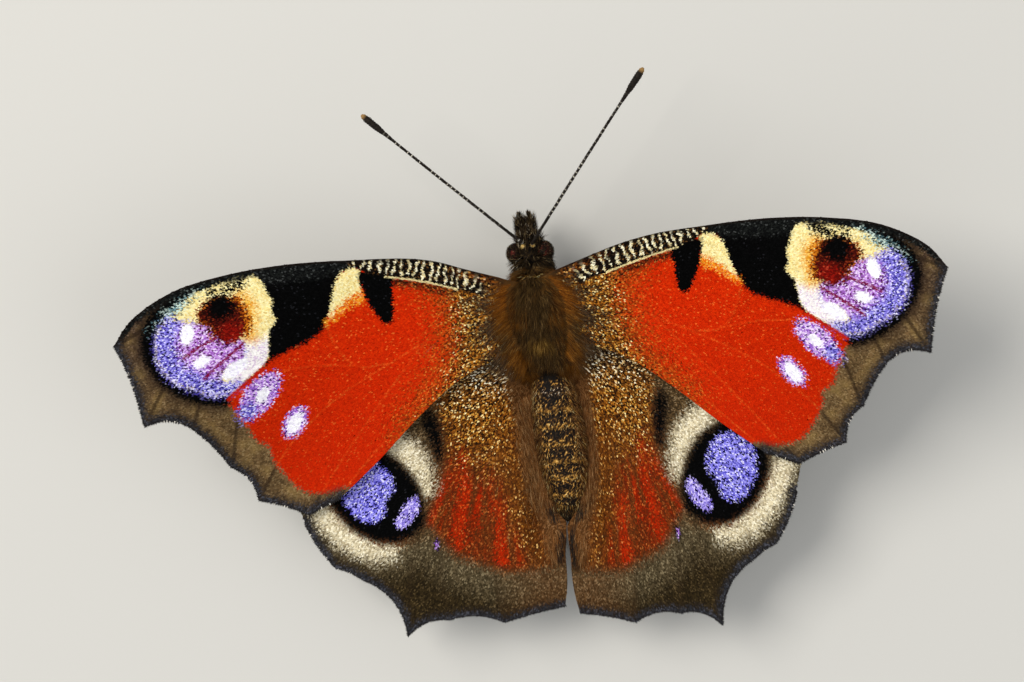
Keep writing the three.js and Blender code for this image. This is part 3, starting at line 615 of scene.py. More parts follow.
FIELDS = {"forewing": forewing_fields, "hindwing": hindwing_fields}

# %% [markdown]
# ## Wing materials as layers of scales
# A butterfly's colours are scales, each of one colour, so every marking ends in a ragged row of scales. Each
# layer below has a field, its colours, a softness and a raggedness in millimetres. A random number that
# belongs to each scale moves the edge in or out there, and a second one picks among the layer's colours. The
# layers are stacked in the order in which they cover one another.


# %% Node helpers
def linear(c):
    return ((c / 255 + 0.055) / 1.055) ** 2.4 if c > 10 else c / 255 / 12.92


def srgb(r, g, b):
    return (linear(r), linear(g), linear(b), 1.0)


class Recipe:
    """A material under construction."""

    def __init__(self, name, roughness, specular):
        self.material = bpy.data.materials.new(name)
        self.material.use_nodes = True
        self.nodes = self.material.node_tree.nodes
        self.links = self.material.node_tree.links
        self.shader = self.nodes["Principled BSDF"]
        self.shader.inputs["Roughness"].default_value = roughness
        self.shader.inputs["Specular IOR Level"].default_value = specular

    def put(self, source, target):
        if hasattr(source, "is_output"):
            self.links.new(source, target)
        else:
            target.default_value = source

    def number(self, name):
        node = self.nodes.new("ShaderNodeAttribute")
        node.attribute_name = name
        return node.outputs["Fac"]

    def vector(self, name):
        node = self.nodes.new("ShaderNodeAttribute")
        node.attribute_name = name
        return node.outputs["Vector"]

    def math(self, kind, *values):
        node = self.nodes.new("ShaderNodeMath")
        node.operation = kind
        for value, socket in zip(values, node.inputs):
            self.put(value, socket)
        return node.outputs[0]

    def times(self, a, b):
        return self.math("MULTIPLY", a, b)

    def span(self, value, low, high, to_low=0.0, to_high=1.0):
        node = self.nodes.new("ShaderNodeMapRange")
        for key, number in zip((1, 2, 3, 4), (low, high, to_low, to_high)):
            node.inputs[key].default_value = number
        self.put(value, node.inputs[0])
        return node.outputs[0]

    def blend(self, below, above, share, kind="MIX"):
        node = self.nodes.new("ShaderNodeMix")
        node.data_type = "RGBA"
        node.blend_type = kind
        self.put(share, node.inputs[0])
        self.put(below, node.inputs[6])
        self.put(above, node.inputs[7])
        return node.outputs[2]

    def parts(self, vector):
        node = self.nodes.new("ShaderNodeSeparateXYZ")
        self.put(vector, node.inputs[0])
        return node.outputs

    def ramp(self, share, colours, stepped=True):
        node = self.nodes.new("ShaderNodeValToRGB")
        node.color_ramp.interpolation = "CONSTANT" if stepped else "LINEAR"
        stops = node.color_ramp.elements
        while len(stops) < len(colours):
            stops.new(0.5)
        for stop, (place, colour) in zip(stops, colours):
            stop.position = place
            stop.color = colour
        self.put(share, node.inputs[0])
        return node.outputs[0]

    def noise(self, scale, detail=3.0, vector=None):
        node = self.nodes.new("ShaderNodeTexNoise")
        node.inputs["Scale"].default_value = scale
        node.inputs["Detail"].default_value = detail
        if vector is None:
            vector = self.nodes.new("ShaderNodeTexCoord").outputs["Object"]
        self.put(vector, node.inputs["Vector"])
        return node.outputs["Fac"]

    def bump(self, height, distance, strength=0.6):
        node = self.nodes.new("ShaderNodeBump")
        node.inputs["Strength"].default_value = strength
        node.inputs["Distance"].default_value = distance
        self.put(height, node.inputs["Height"])
        self.put(node.outputs[0], self.shader.inputs["Normal"])

    def colour(self, source):
        self.put(source, self.shader.inputs["Base Color"])
        return self.material


# %% Colours of the scales
RUST_RED = [
    (0.0, srgb(186, 32, 0)), (0.2, srgb(206, 40, 2)), (0.75, srgb(216, 50, 4)), (0.96, srgb(230, 98, 34))]
WARM_BROWN = [
    (0.0, srgb(110, 40, 8)), (0.25, srgb(158, 56, 8)), (0.6, srgb(184, 76, 16)), (0.88, srgb(208, 112, 36))]
DUSTED_BROWN = [
    (0.0, srgb(18, 10, 4)), (0.22, srgb(66, 36, 10)), (0.44, srgb(120, 68, 16)), (0.64, srgb(174, 106, 30)),
    (0.8, srgb(208, 154, 66)), (0.92, srgb(252, 226, 156))]
SPARSE_DUST = [
    (0.0, srgb(72, 38, 12)), (0.35, srgb(104, 56, 14)), (0.72, srgb(134, 78, 24)), (0.86, srgb(186, 124, 50)),
    (0.95, srgb(236, 186, 108))]
SILVER_DUST = [
    (0.0, srgb(14, 9, 6)), (0.3, srgb(52, 34, 16)), (0.58, srgb(116, 80, 38)), (0.78, srgb(208, 176, 120)),
    (0.9, srgb(255, 244, 214))]
MARGIN_BROWN = [(0.0, srgb(88, 68, 42)), (0.3, srgb(114, 89, 57)), (0.8, srgb(138, 114, 78))]
TIP_BROWN = [(0.0, srgb(60, 44, 34)), (0.4, srgb(86, 66, 48)), (0.8, srgb(112, 90, 70))]
CREAM = [(0.0, srgb(232, 206, 130)), (0.2, srgb(246, 228, 156)), (0.6, srgb(252, 240, 182))]
PALE = [(0.0, srgb(226, 204, 226)), (0.25, srgb(246, 238, 236)), (0.6, srgb(252, 248, 244))]
BLACK = [(0.0, srgb(2, 2, 2)), (0.6, srgb(5, 5, 5)), (0.97, srgb(26, 26, 29))]
STRIPE_DARK = [(0.0, srgb(8, 6, 5)), (0.5, srgb(26, 18, 12)), (0.88, srgb(96, 64, 30))]
COSTA_RUST = [
    (0.0, srgb(20, 10, 6)), (0.35, srgb(80, 40, 12)), (0.7, srgb(136, 72, 20)), (0.92, srgb(206, 150, 78))]
STRIP_GREY = [(0.0, srgb(10, 11, 11)), (0.5, srgb(24, 26, 24)), (0.9, srgb(60, 62, 60))]
FROST = [(0.0, srgb(16, 34, 40)), (0.28, srgb(112, 150, 156)), (0.6, srgb(206, 226, 214))]
BLUE = [
    (0.0, srgb(20, 12, 76)), (0.15, srgb(74, 64, 168)), (0.34, srgb(124, 114, 212)),
    (0.6, srgb(164, 156, 236)), (0.84, srgb(224, 220, 255))]
VIOLET = [
    (0.0, srgb(84, 16, 84)), (0.2, srgb(160, 96, 190)), (0.46, srgb(206, 156, 228)),
    (0.76, srgb(236, 212, 248))]
WHITE = [(0.0, srgb(236, 228, 246)), (0.2, srgb(254, 252, 255))]
MAROON = [(0.0, srgb(36, 8, 5)), (0.4, srgb(78, 16, 8)), (0.82, srgb(128, 44, 18))]
DEEP_RED = [(0.0, srgb(98, 10, 5)), (0.5, srgb(136, 18, 8)), (0.9, srgb(186, 64, 40))]
EMBER = [(0.0, srgb(92, 34, 6)), (0.3, srgb(176, 82, 12)), (0.65, srgb(220, 132, 28))]
FLUSH = [(0.0, srgb(226, 150, 34)), (0.4, srgb(242, 186, 70)), (0.8, srgb(248, 214, 120))]
ORANGE = [(0.0, srgb(222, 92, 8)), (0.4, srgb(238, 142, 26)), (0.8, srgb(246, 190, 80))]
LILAC_RIM = [
    (0.0, srgb(58, 18, 96)), (0.15, srgb(146, 92, 196)), (0.42, srgb(204, 158, 232)),
    (0.72, srgb(240, 220, 250))]
BARS = [(0.0, srgb(228, 210, 156)), (0.5, srgb(252, 244, 210))]
SEAM_SHADE = [(0.0, srgb(50, 20, 8)), (0.5, srgb(104, 44, 14)), (0.85, srgb(170, 104, 44))]
HIND_BROWN = [(0.0, srgb(76, 40, 14)), (0.4, srgb(100, 52, 18)), (0.85, srgb(132, 78, 34))]
RUST = [(0.0, srgb(92, 30, 8)), (0.4, srgb(126, 34, 4)), (0.8, srgb(150, 46, 8)), (0.93, srgb(190, 96, 40))]
RAY_RED = [(0.0, srgb(140, 30, 2)), (0.45, srgb(176, 36, 3)), (0.9, srgb(200, 72, 20))]
REAR_BROWN = [(0.0, srgb(34, 26, 13)), (0.4, srgb(51, 40, 21)), (0.85, srgb(78, 63, 38))]
REAR_LIGHT = [(0.0, srgb(64, 54, 35)), (0.4, srgb(90, 77, 54)), (0.85, srgb(124, 110, 82))]
OLIVE = [(0.0, srgb(58, 44, 26)), (0.5, srgb(94, 72, 44)), (0.85, srgb(128, 106, 76))]
HIND_CREAM = [(0.0, srgb(182, 166, 132)), (0.3, srgb(226, 212, 176)), (0.75, srgb(246, 236, 208))]
GUTTER = [(0.0, srgb(78, 48, 22)), (0.5, srgb(106, 70, 38)), (0.9, srgb(136, 98, 62))]
HIND_BLUE = [
    (0.0, srgb(10, 6, 48)), (0.18, srgb(82, 76, 184)), (0.38, srgb(128, 122, 224)),
    (0.66, srgb(168, 162, 246)), (0.86, srgb(222, 218, 255))]
CHIP_LILAC = [
    (0.0, srgb(24, 12, 60)), (0.16, srgb(116, 100, 196)), (0.4, srgb(166, 150, 230)),
    (0.75, srgb(216, 204, 250))]
SLATE = [(0.0, srgb(32, 31, 33)), (0.35, srgb(47, 48, 53)), (0.8, srgb(70, 71, 79))]
EDGE_SLATE = srgb(34, 32, 32)
NICK_WHITE = srgb(222, 214, 200)

# field, colours, softness and raggedness in millimetres
FOREWING_GROUND = [
    ("warm", WARM_BROWN, 1.0, 2.6),
    ("base", DUSTED_BROWN, 0.5, 1.7),
    ("under_seam", SEAM_SHADE, 0.2, 0.4),
    ("margin", MARGIN_BROWN, 0.12, 0.4),
]
FOREWING_MARKS = [
    ("black", BLACK, 0.14, 0.34),
    ("strip", STRIP_GREY, 0.2, 0.3),
    ("loose", LILAC_RIM, 0.05, 0.34),
    ("loose_blue", BLUE, 0.15, 0.4),
    ("eyespot", CREAM, 0.05, 0.24),
    ("pale", PALE, 0.3, 0.5),
    ("flush", FLUSH, 0.4, 0.5),
    ("frost", FROST, 0.25, 0.7),
    ("blue", BLUE, 0.2, 0.5),
    ("violet", VIOLET, 0.45, 0.6),
    ("white", WHITE, 0.05, 0.16),
    ("ember", EMBER, 0.1, 0.5),
    ("maroon", MAROON, 0.15, 0.5),
    ("deep_red", DEEP_RED, 0.3, 0.8),
    ("core", BLACK, 0.2, 0.6),
    ("smear", BLACK, 0.15, 0.9),
    ("cream_patch", CREAM, 0.05, 0.26),
    ("orange", ORANGE, 0.15, 0.5),
    ("wedge", BLACK, 0.06, 0.26),
]
HINDWING_GROUND = [
    ("dust", SPARSE_DUST, 1.0, 2.6),
    ("gold", DUSTED_BROWN, 1.4, 4.0),
    ("silver", SILVER_DUST, 1.0, 2.4),
    ("gutter", GUTTER, 0.3, 0.3),
    ("rear", REAR_LIGHT, 0.45, 0.6),
    ("far_rear", REAR_BROWN, 0.9, 0.8),
    ("olive", OLIVE, 0.45, 0.7),
]
HINDWING_MARKS = [
    ("mark", BLACK, 0.25, 0.7),
    ("ring", BLACK, 0.16, 0.5),
    ("blue", HIND_BLUE, 0.08, 0.44),
    ("chip", CHIP_LILAC, 0.06, 0.3),
    ("dot", LILAC_RIM, 0.05, 0.2),
]


# %% Building the two wing materials
INSIDE = {"violet": "blue", "pale": "eyespot", "flush": "eyespot", "deep_red": "maroon", "smear": "eyespot"}


def stack_layers(recipe, colour, layers, pick, shift):
    for field, colours, soft, ragged in layers:
        moved = recipe.math("MULTIPLY_ADD", shift, ragged, recipe.number(field))
        share = recipe.span(moved, -soft, soft)
        if field in INSIDE:
            share = recipe.math("MULTIPLY", share, recipe.span(recipe.number(INSIDE[field]), -0.05, 0.1))
        colour = recipe.blend(colour, recipe.ramp(pick, colours), share)
    return colour


def scale_numbers(recipe):
    """Three random numbers of each scale: which colour, how far its edge moves, how bright it is."""
    pick, shift, tone = recipe.parts(recipe.vector("grain"))
    return pick, recipe.math("SUBTRACT", shift, 0.5), tone


def with_tone(recipe, colour, tone, low=0.86, high=1.12):
    grey = recipe.span(tone, 0, 1, low, high)
    return recipe.blend(colour, grey, 1.0, kind="MULTIPLY")


def fringe_over(recipe, colour):
    colour = recipe.blend(colour, EDGE_SLATE, recipe.span(recipe.number("fringe"), 0.25, 0.75))
    return recipe.blend(colour, NICK_WHITE, recipe.span(recipe.number("fringe"), 1.25, 1.75))


def wavy_rim(recipe, shift):
    """Share of the slate scales along the outer margin, in a band of uneven width."""
    waves = recipe.noise(1.1, 2.0, recipe.vector("flat"))
    swell = recipe.math("MULTIPLY_ADD", waves, -0.5, recipe.number("edge"))
    return recipe.span(recipe.math("MULTIPLY_ADD", shift, 0.35, swell), 0.3, -0.05, 0.0, 0.92)


def make_forewing_material():
    recipe = Recipe("forewing_scales", roughness=0.75, specular=0.03)
    pick, shift, tone = scale_numbers(recipe)
    number, span, blend, times = recipe.number, recipe.span, recipe.blend, recipe.times
    flat = recipe.vector("flat")
    forward = recipe.parts(flat)[1]
    clouds = recipe.noise(0.7, 3.0, flat)
    colour = blend(recipe.ramp(pick, RUST_RED), srgb(182, 32, 2), span(forward, 1.0, -9.0, 0.0, 0.6))
    on_vein = times(span(number("vein"), 0.09, 0.03), span(shift, 0.1, 0.4, 0.1, 0.5))
    colour = blend(colour, srgb(226, 100, 32), on_vein)
    colour = stack_layers(recipe, colour, FOREWING_GROUND, pick, shift)
    in_margin = span(number("margin"), 0.0, 0.3)
    colour = blend(colour, recipe.ramp(pick, TIP_BROWN), times(in_margin, span(forward, -4.0, 2.0)))
    mottled = blend(colour, srgb(150, 122, 70), span(clouds, 0.5, 0.68, 0.0, 0.45))
    mottled = blend(mottled, srgb(52, 38, 24), span(clouds, 0.48, 0.3, 0.0, 0.5))
    mottled = blend(mottled, srgb(52, 38, 24), span(number("vein"), 0.17, 0.05, 0.0, 0.8))
    mottled = blend(mottled, srgb(40, 28, 22), span(number("black"), -0.75, -0.1, 0.0, 0.75))
    colour = blend(colour, mottled, in_margin)
    colour = stack_layers(recipe, colour, FOREWING_MARKS, pick, shift)
    torn = recipe.math("MULTIPLY_ADD", shift, 0.14, number("streak"))
    on_streak = times(span(torn, 0.13, 0.03), span(number("eyespot"), 0.0, 0.05))
    colour = blend(colour, srgb(126, 20, 62), on_streak)
    colour = blend(colour, srgb(190, 30, 14), span(number("red_streak"), 0.16, 0.05))
    stripes = span(number("stripes"), -0.05, 0.05)
    dark = blend(colour, recipe.ramp(pick, STRIPE_DARK), stripes)
    broken = span(recipe.noise(2.2, 2.0, flat), 0.32, 0.46, 0.1, 1.0)
    bars = span(recipe.math("MULTIPLY_ADD", shift, 0.7, number("bars")), 0.38, 0.6)
    colour = blend(dark, recipe.ramp(pick, BARS), times(times(bars, broken), stripes))
    colour = blend(colour, srgb(240, 222, 160), span(number("seam"), 0.09, 0.04, 0.0, 0.85))
    leading = recipe.math("MULTIPLY_ADD", shift, 0.3, number("front"))
    inner_end = span(recipe.math("MULTIPLY_ADD", shift, 1.5, recipe.parts(flat)[0]), 6.0, 4.5, 0.0, 0.9)
    colour = blend(colour, recipe.ramp(pick, COSTA_RUST), times(span(leading, 0.65, 0.4), inner_end))
    outer_half = span(recipe.parts(flat)[0], 13.0, 16.0)
    colour = blend(colour, recipe.ramp(pick, STRIP_GREY), times(span(leading, 0.6, 0.35), outer_half))
    dark_edge = recipe.math("MULTIPLY_ADD", shift, 0.3, number("edge"))
    colour = blend(colour, srgb(46, 38, 32), span(dark_edge, 1.05, 0.3, 0.0, 0.85))
    colour = blend(colour, recipe.ramp(pick, SLATE), wavy_rim(recipe, shift))
    colour = blend(colour, srgb(26, 19, 15), span(number("front"), 0.2, 0.08, 0.0, 0.85))
    # Darker brown at the root, where it runs in under the body's fur: the wing base's own brown and painted
    # shade under the fur.
    colour = blend(colour, srgb(64, 42, 18), span(recipe.parts(flat)[0], 3.4, 2.3, 0.0, 0.92))
    return finish_wing_colour(recipe, colour, tone)


def make_hindwing_material():
    recipe = Recipe("hindwing_scales", roughness=0.75, specular=0.03)
    pick, shift, tone = scale_numbers(recipe)
    number, span, blend, times = recipe.number, recipe.span, recipe.blend, recipe.times
    flat = recipe.vector("flat")
    streaks = recipe.noise(1.6, 4.0, recipe.vector("fan"))
    in_rust = span(recipe.math("MULTIPLY_ADD", shift, 0.5, number("rust")), -0.3, 0.5)
    streaked = times(span(streaks, 0.4, 0.62, 0.25, 1.0), in_rust)
    colour = blend(recipe.ramp(pick, HIND_BROWN), recipe.ramp(pick, RUST), streaked)
    rays = recipe.math("MULTIPLY_ADD", shift, 0.7, recipe.math("MULTIPLY_ADD", streaks, 0.8, number("ray")))
    colour = blend(colour, recipe.ramp(pick, RAY_RED), times(span(rays, 0.15, 0.65), in_rust))
    colour = stack_layers(recipe, colour, HINDWING_GROUND, pick, shift)
    grey = span(recipe.noise(3.4, 3.0, recipe.vector("fan")), 0.3, 0.7, 0.7, 1.25)
    colour = blend(colour, blend(colour, grey, 1.0, kind="MULTIPLY"), span(number("rear"), -0.4, 0.6))
    in_rear = span(number("rear"), 0.0, 0.4)
    colour = blend(colour, srgb(46, 34, 20), times(span(number("vein"), 0.3, 0.05, 0.0, 0.3), in_rear))
    beside_gap = span(recipe.parts(flat)[0], 5.5, 2.0, 0.0, 0.55)
    colour = blend(colour, recipe.ramp(pick, GUTTER), times(beside_gap, in_rear))
    faded = recipe.math("MULTIPLY_ADD", span(number("shade"), 2.6, 0.6, 0.0, 0.55), -1.0, number("cream"))
    faded = recipe.math("MULTIPLY_ADD", shift, 0.85, faded)
    colour = blend(colour, recipe.ramp(pick, HIND_CREAM), span(faded, -0.45, 0.4))
    colour = blend(colour, srgb(20, 14, 10), span(number("dot"), -0.22, -0.05, 0.0, 0.8))
    colour = blend(colour, srgb(40, 28, 18), span(number("ring"), -0.45, 0.0, 0.0, 0.75))
    colour = blend(colour, srgb(40, 28, 18), span(number("mark"), -0.6, 0.0, 0.0, 0.7))
    colour = stack_layers(recipe, colour, HINDWING_MARKS, pick, shift)
    dark_edge = recipe.math("MULTIPLY_ADD", shift, 0.3, number("edge"))
    colour = blend(colour, srgb(40, 33, 26), span(dark_edge, 0.9, 0.4, 0.0, 0.7))
    colour = blend(colour, recipe.ramp(pick, SLATE), wavy_rim(recipe, shift))
    # Darker brown at the root, where it runs in under the body's fur: the wing base's own brown and painted
    # shade under the fur.
    root = times(span(recipe.parts(flat)[0], 3.4, 2.5, 0.0, 0.9), span(recipe.parts(flat)[1], -4.2, -3.0))
    colour = blend(colour, srgb(64, 44, 22), root)
    return finish_wing_colour(recipe, colour, tone)


def finish_wing_colour(recipe, colour, tone):
    colour = with_tone(recipe, fringe_over(recipe, colour), tone)
    recipe.bump(recipe.noise(9000, 2.0), 0.00003, 0.5)
    return recipe.colour(colour)


def make_underside_material():
    recipe = Recipe("wing_underside", roughness=0.7, specular=0.2)
    flat = recipe.vector("flat")
    wave = recipe.nodes.new("ShaderNodeTexWave")
    wave.bands_direction = "X"
    wave.inputs["Scale"].default_value = 0.9
    wave.inputs["Distortion"].default_value = 9.0
    wave.inputs["Detail"].default_value = 3.0
    wave.inputs["Detail Scale"].default_value = 2.2
    recipe.put(flat, wave.inputs["Vector"])
    ripple = recipe.ramp(wave.outputs["Fac"], [
        (0.0, srgb(20, 15, 12)), (0.5, srgb(34, 27, 21)), (0.9, srgb(62, 50, 38))], stepped=False)
    bands = recipe.span(recipe.noise(0.18, 2.0, flat), 0.45, 0.6, 0.0, 0.6)
    banded = recipe.blend(ripple, srgb(12, 9, 8), bands)
    rim = recipe.span(recipe.number("edge"), 1.6, 0.4, 0.0, 0.45)
    colour = recipe.blend(banded, srgb(70, 58, 46), rim)
    recipe.bump(recipe.noise(6000, 3.0), 0.00004, 0.5)
    return recipe.colour(colour)


WING_MATERIALS = {"forewing": make_forewing_material(), "hindwing": make_hindwing_material()}
UNDERSIDE_MATERIAL = make_underside_material()
print("wing materials:", ", ".join(m.name for m in WING_MATERIALS.values()))

# %% [markdown]
# ## The four membranes
# Each membrane is the stretched grid laid in its pose, given its thickness by Solidify. The underside gets
# its own material, dark and rippled as a dead leaf, which hides the resting butterfly when the wings are
# shut.


# %% Making the membranes
def make_membrane(name, uv, fields):
    kind, side_name = name.split("_")
    bpy.ops.object.select_all(action="DESELECT")
    bpy.ops.mesh.primitive_grid_add(x_subdivisions=GRID_OUT, y_subdivisions=GRID_ACROSS, size=2)
    wing = bpy.context.object
    set_points(wing, on_wing(name, uv, fields["height"]))
    if side_name == "left":
        bpy.ops.object.mode_set(mode="EDIT")
        bpy.ops.mesh.select_all(action="SELECT")
        bpy.ops.mesh.flip_normals()
        bpy.ops.object.mode_set(mode="OBJECT")
    note(wing, "flat", np.column_stack((uv, np.zeros(len(uv)))))
    note(wing, "grain", rng.random((len(uv), 3)))
    note(wing, "fringe", np.zeros(len(uv)))
    for field, values in fields.items():
        note(wing, field, values)
    wall = wing.modifiers.new("thickness", "SOLIDIFY")
    wall.thickness = WING_THICKNESS
    wall.offset = -1
    wall.material_offset = 1
    wall.material_offset_rim = 1
    wing.data.materials.append(WING_MATERIALS[kind])
    wing.data.materials.append(UNDERSIDE_MATERIAL)
    apply_modifiers(wing)
    finish_piece(wing, name + "_membrane", [WING_MATERIALS[kind], UNDERSIDE_MATERIAL], [name])


NETS = {"forewing": wing_net(FOREWING), "hindwing": wing_net(HINDWING)}
NET_FIELDS = {kind: FIELDS[kind](uv) for kind, uv in NETS.items()}
for kind in NETS:
    for side_name in SIDES:
        make_membrane(f"{kind}_{side_name}", NETS[kind], NET_FIELDS[kind])

# %% [markdown]
# ## Scales and fringe
# A wing carries rows of overlapping scales, about a tenth of a millimetre wide, each one colour. They are far
# too many to model one by one, so one sliver of four triangles is repeated by arrays in staggered rows and
# points away from the hinge. Its root is sunk in the membrane and its tip lies on the next row. Longer ones
# along the outer margin make the fringe, dark with white nicks in the bays.

# %% Making scales
SCALE_PITCH = 0.105
SCALE_LENGTH, SCALE_WIDTH = 0.25, 0.13
SLIVER_FACES = np.array([(0, 2, 1), (0, 1, 3), (1, 2, 3), (2, 0, 3)])
BAKE_PATCH = 0.003
WING_SPAN, WING_REAR = 34.0, 24


def wing_place(uv):
    """The place of the flat wing on the baked map."""
    return np.stack((uv[:, 0] / WING_SPAN, (uv[:, 1] + WING_REAR) / WING_SPAN), -1)


def lay_slivers(name, wing, uv, heading, length, width, tilt, fields):
    """Joined slivers on a wing: root, two sides and a raised tip each."""
    count = len(uv)
    across = np.stack((-heading[:, 1], heading[:, 0]), -1)
    reach = heading * length[:, None]
    root = uv - reach * 0.4
    left = uv + reach * 0.12 + across * width[:, None] / 2
    right = uv + reach * 0.12 - across * width[:, None] / 2
    tip = uv + reach * 0.6
    low = np.broadcast_to(fields["height"], (count,))
    corners = np.stack((
        on_wing(wing, root, low - 0.02), on_wing(wing, left, low + 0.008),
        on_wing(wing, right, low + 0.008), on_wing(wing, tip, low + tilt)), axis=1).reshape(-1, 3)
    faces = SLIVER_FACES if wing.endswith("right") else SLIVER_FACES[:, ::-1]
    triangles = (faces[None] + 4 * np.arange(count)[:, None, None]).reshape(-1, 3)
    piece = joined_mesh(name, corners, triangles, smooth_faces=False)
    note(piece, "flat", np.repeat(np.column_stack((uv, np.zeros(count))), 4, axis=0))
    note(piece, "grain", np.repeat(rng.random((count, 3)), 4, axis=0))
    for field, values in fields.items():
        note(piece, field, np.repeat(np.broadcast_to(values, (count,) + np.shape(values)[1:]), 4, axis=0))
    spot = np.array([(0.5, 0), (0, 0.5), (1, 0.5), (0.5, 1)]) * BAKE_PATCH
    bake_spots(piece, wing_place(uv), spot)
    return piece


def rows_of_scales(shape, net):
    """Places in staggered rows over the wing's outline."""
    low, high = net.min(axis=0), net.max(axis=0)
    a, b = np.meshgrid(
        np.arange(low[0], high[0], SCALE_PITCH), np.arange(low[1], high[1], SCALE_PITCH * 0.93))
    b[:, ::2] += SCALE_PITCH / 2
    uv = np.column_stack((a.ravel(), b.ravel())) + rng.normal(0, 0.022, (a.size, 2))
    edges = edges_of(shape)
    ring = np.vstack((edges["rear"], edges["margin"][1:], edges["costa"][::-1][1:]))
    keep = is_inside(uv, ring) & (to_line(uv, np.vstack((ring, ring[:1]))) > 0.05)
    return uv[keep]


def heading_at(uv, shape):
    hinge = np.mean(shape["root"], axis=0) - (1.5, 0)
    out = unit(uv - hinge)
    turn = rng.normal(0, 0.16, len(uv))
    c, s = np.cos(turn), np.sin(turn)
    return np.stack((out[:, 0] * c - out[:, 1] * s, out[:, 0] * s + out[:, 1] * c), -1)


SHAPES = {"forewing": FOREWING, "hindwing": HINDWING}
SCALES = {kind: rows_of_scales(SHAPES[kind], NETS[kind]) for kind in SHAPES}
SCALE_FIELDS = {kind: FIELDS[kind](uv) for kind, uv in SCALES.items()}
for kind, uv in SCALES.items():
    for side_name in SIDES:
        wing = f"{kind}_{side_name}"
        size = rng.uniform(0.85, 1.2, len(uv))
        fields = dict(SCALE_FIELDS[kind], fringe=np.zeros(len(uv)))
        scales = lay_slivers(
            wing, wing, uv, heading_at(uv, SHAPES[kind]), SCALE_LENGTH * size, SCALE_WIDTH * size,
            rng.uniform(0.02, 0.05, len(uv)), fields)
        finish_piece(scales, f"{wing}_scales", [WING_MATERIALS[kind]], round_off=False)


# %% Making the fringe
FRINGE_STEP = 0.045
FRINGE_LENGTH, FRINGE_WIDTH = 0.36, 0.1


def fringe_of(shape):
    """Roots, outward headings and colours of the fringe along the outer margin."""
    margin = edges_of(shape)["margin"]
    length = np.linalg.norm(np.diff(margin, axis=0), axis=1).sum()
    t = np.arange(0, 1, FRINGE_STEP / length)
    line, ahead = by_length(margin, t), by_length(margin, np.minimum(1, t + 0.012))
    behind = by_length(margin, np.maximum(0, t - 0.012))
    run = unit(ahead - behind)
    outward = np.stack((run[:, 1], -run[:, 0]), -1)
    ends = np.array(shape["ends"])
    to_end = np.min(np.linalg.norm(line[:, None] - ends[None], axis=2), axis=1)
    nick = (to_end > 0.9) & (rng.random(len(line)) < 0.16) & (line[:, 0] > 14)
    return line - outward * 0.06, outward, np.where(nick, 2.0, 1.0)


for kind, shape in SHAPES.items():
    uv, outward, tint = fringe_of(shape)
    for side_name in SIDES:
        wing = f"{kind}_{side_name}"
        sweep = unit(outward + rng.normal(0, 0.12, outward.shape))
        fields = dict(FIELDS[kind](uv), fringe=tint)
        fringe = lay_slivers(
            f"{wing}_fringe", wing, uv, sweep, FRINGE_LENGTH * rng.uniform(0.75, 1.25, len(uv)),
            np.full(len(uv), FRINGE_WIDTH), rng.uniform(-0.04, 0.02, len(uv)), fields)
        finish_piece(fringe, f"{wing}_fringe", [WING_MATERIALS[kind]], round_off=False)

# %% [markdown]
# ## The body's skin
# Thorax, abdomen and head are three solids in the frame, but a living body is one skin. Each form starts as a
# sphere with its poles fore and aft and is moulded to the body's outline, less the depth of the coat. The
# three and a short neck are joined, and a voxel remesh melts them into one closed skin with no seam. The
# abdomen's rings are a small step in its outline.

# %% Moulding the body
THORAX_COAT_DEPTH, ABDOMEN_COAT_DEPTH = 0.5, 0.12
SKIN_VOXEL = 0.12
RING_LENGTH = 1.28
RING_STEP = 0.07
CAP_SHARE = 0.1


def mould(name, front, rear, half_width, half_height, centre_x, centre_z, roundness):
    """A sphere with its poles on the body's length, laid on an outline."""
    bpy.ops.object.select_all(action="DESELECT")
    bpy.ops.mesh.primitive_uv_sphere_add(segments=56, ring_count=64, radius=1, rotation=(math.pi / 2, 0, 0))
    form = bpy.context.object
    bpy.ops.object.transform_apply(location=True, rotation=True, scale=True)
    p = points_of(form)
    t = np.arccos(np.clip(p[:, 1], -1, 1)) / math.pi
    a = np.arctan2(p[:, 2], p[:, 0])
    y = mix(front, rear, t)
    closed = np.clip(np.minimum(t, 1 - t) / CAP_SHARE, 0, 1)
    closing = np.sqrt(np.maximum(0, 1 - (1 - closed) ** 2))
    w, h = half_width(y) * closing, half_height(y) * closing
    c, s = np.cos(a), np.sin(a)
    x = centre_x(y) + np.sign(c) * np.abs(c) ** (2 / roundness) * w
    z = centre_z(y) + np.sign(s) * np.abs(s) ** (2 / roundness) * h
    set_points(form, np.stack((x, y, z), -1))
    form.name = name
    return form


def abdomen_half(y):
    ring = np.mod((ABDOMEN_FRONT - y) / RING_LENGTH, 1.0)
    step = RING_STEP * (ring - 0.5) * smooth((ABDOMEN_FRONT - y) / 1.5)
    return ABDOMEN_HALF_WIDTH * along(ABDOMEN_SHAPE, y) - ABDOMEN_COAT_DEPTH + step


def abdomen_z(y):
    share = np.clip((ABDOMEN_FRONT - y) / (ABDOMEN_FRONT - ABDOMEN_TIP), 0, 1)
    return mix(ABDOMEN_FRONT_Z, ABDOMEN_TIP_Z, share)


def thorax_z(y):
    return mix(5.5, THORAX_Z, smooth(along(THORAX_SHAPE, y)))


def head_size(y):
    return np.sqrt(np.clip(1 - ((y - HEAD_Y) / 1.0) ** 2, 0, 1))


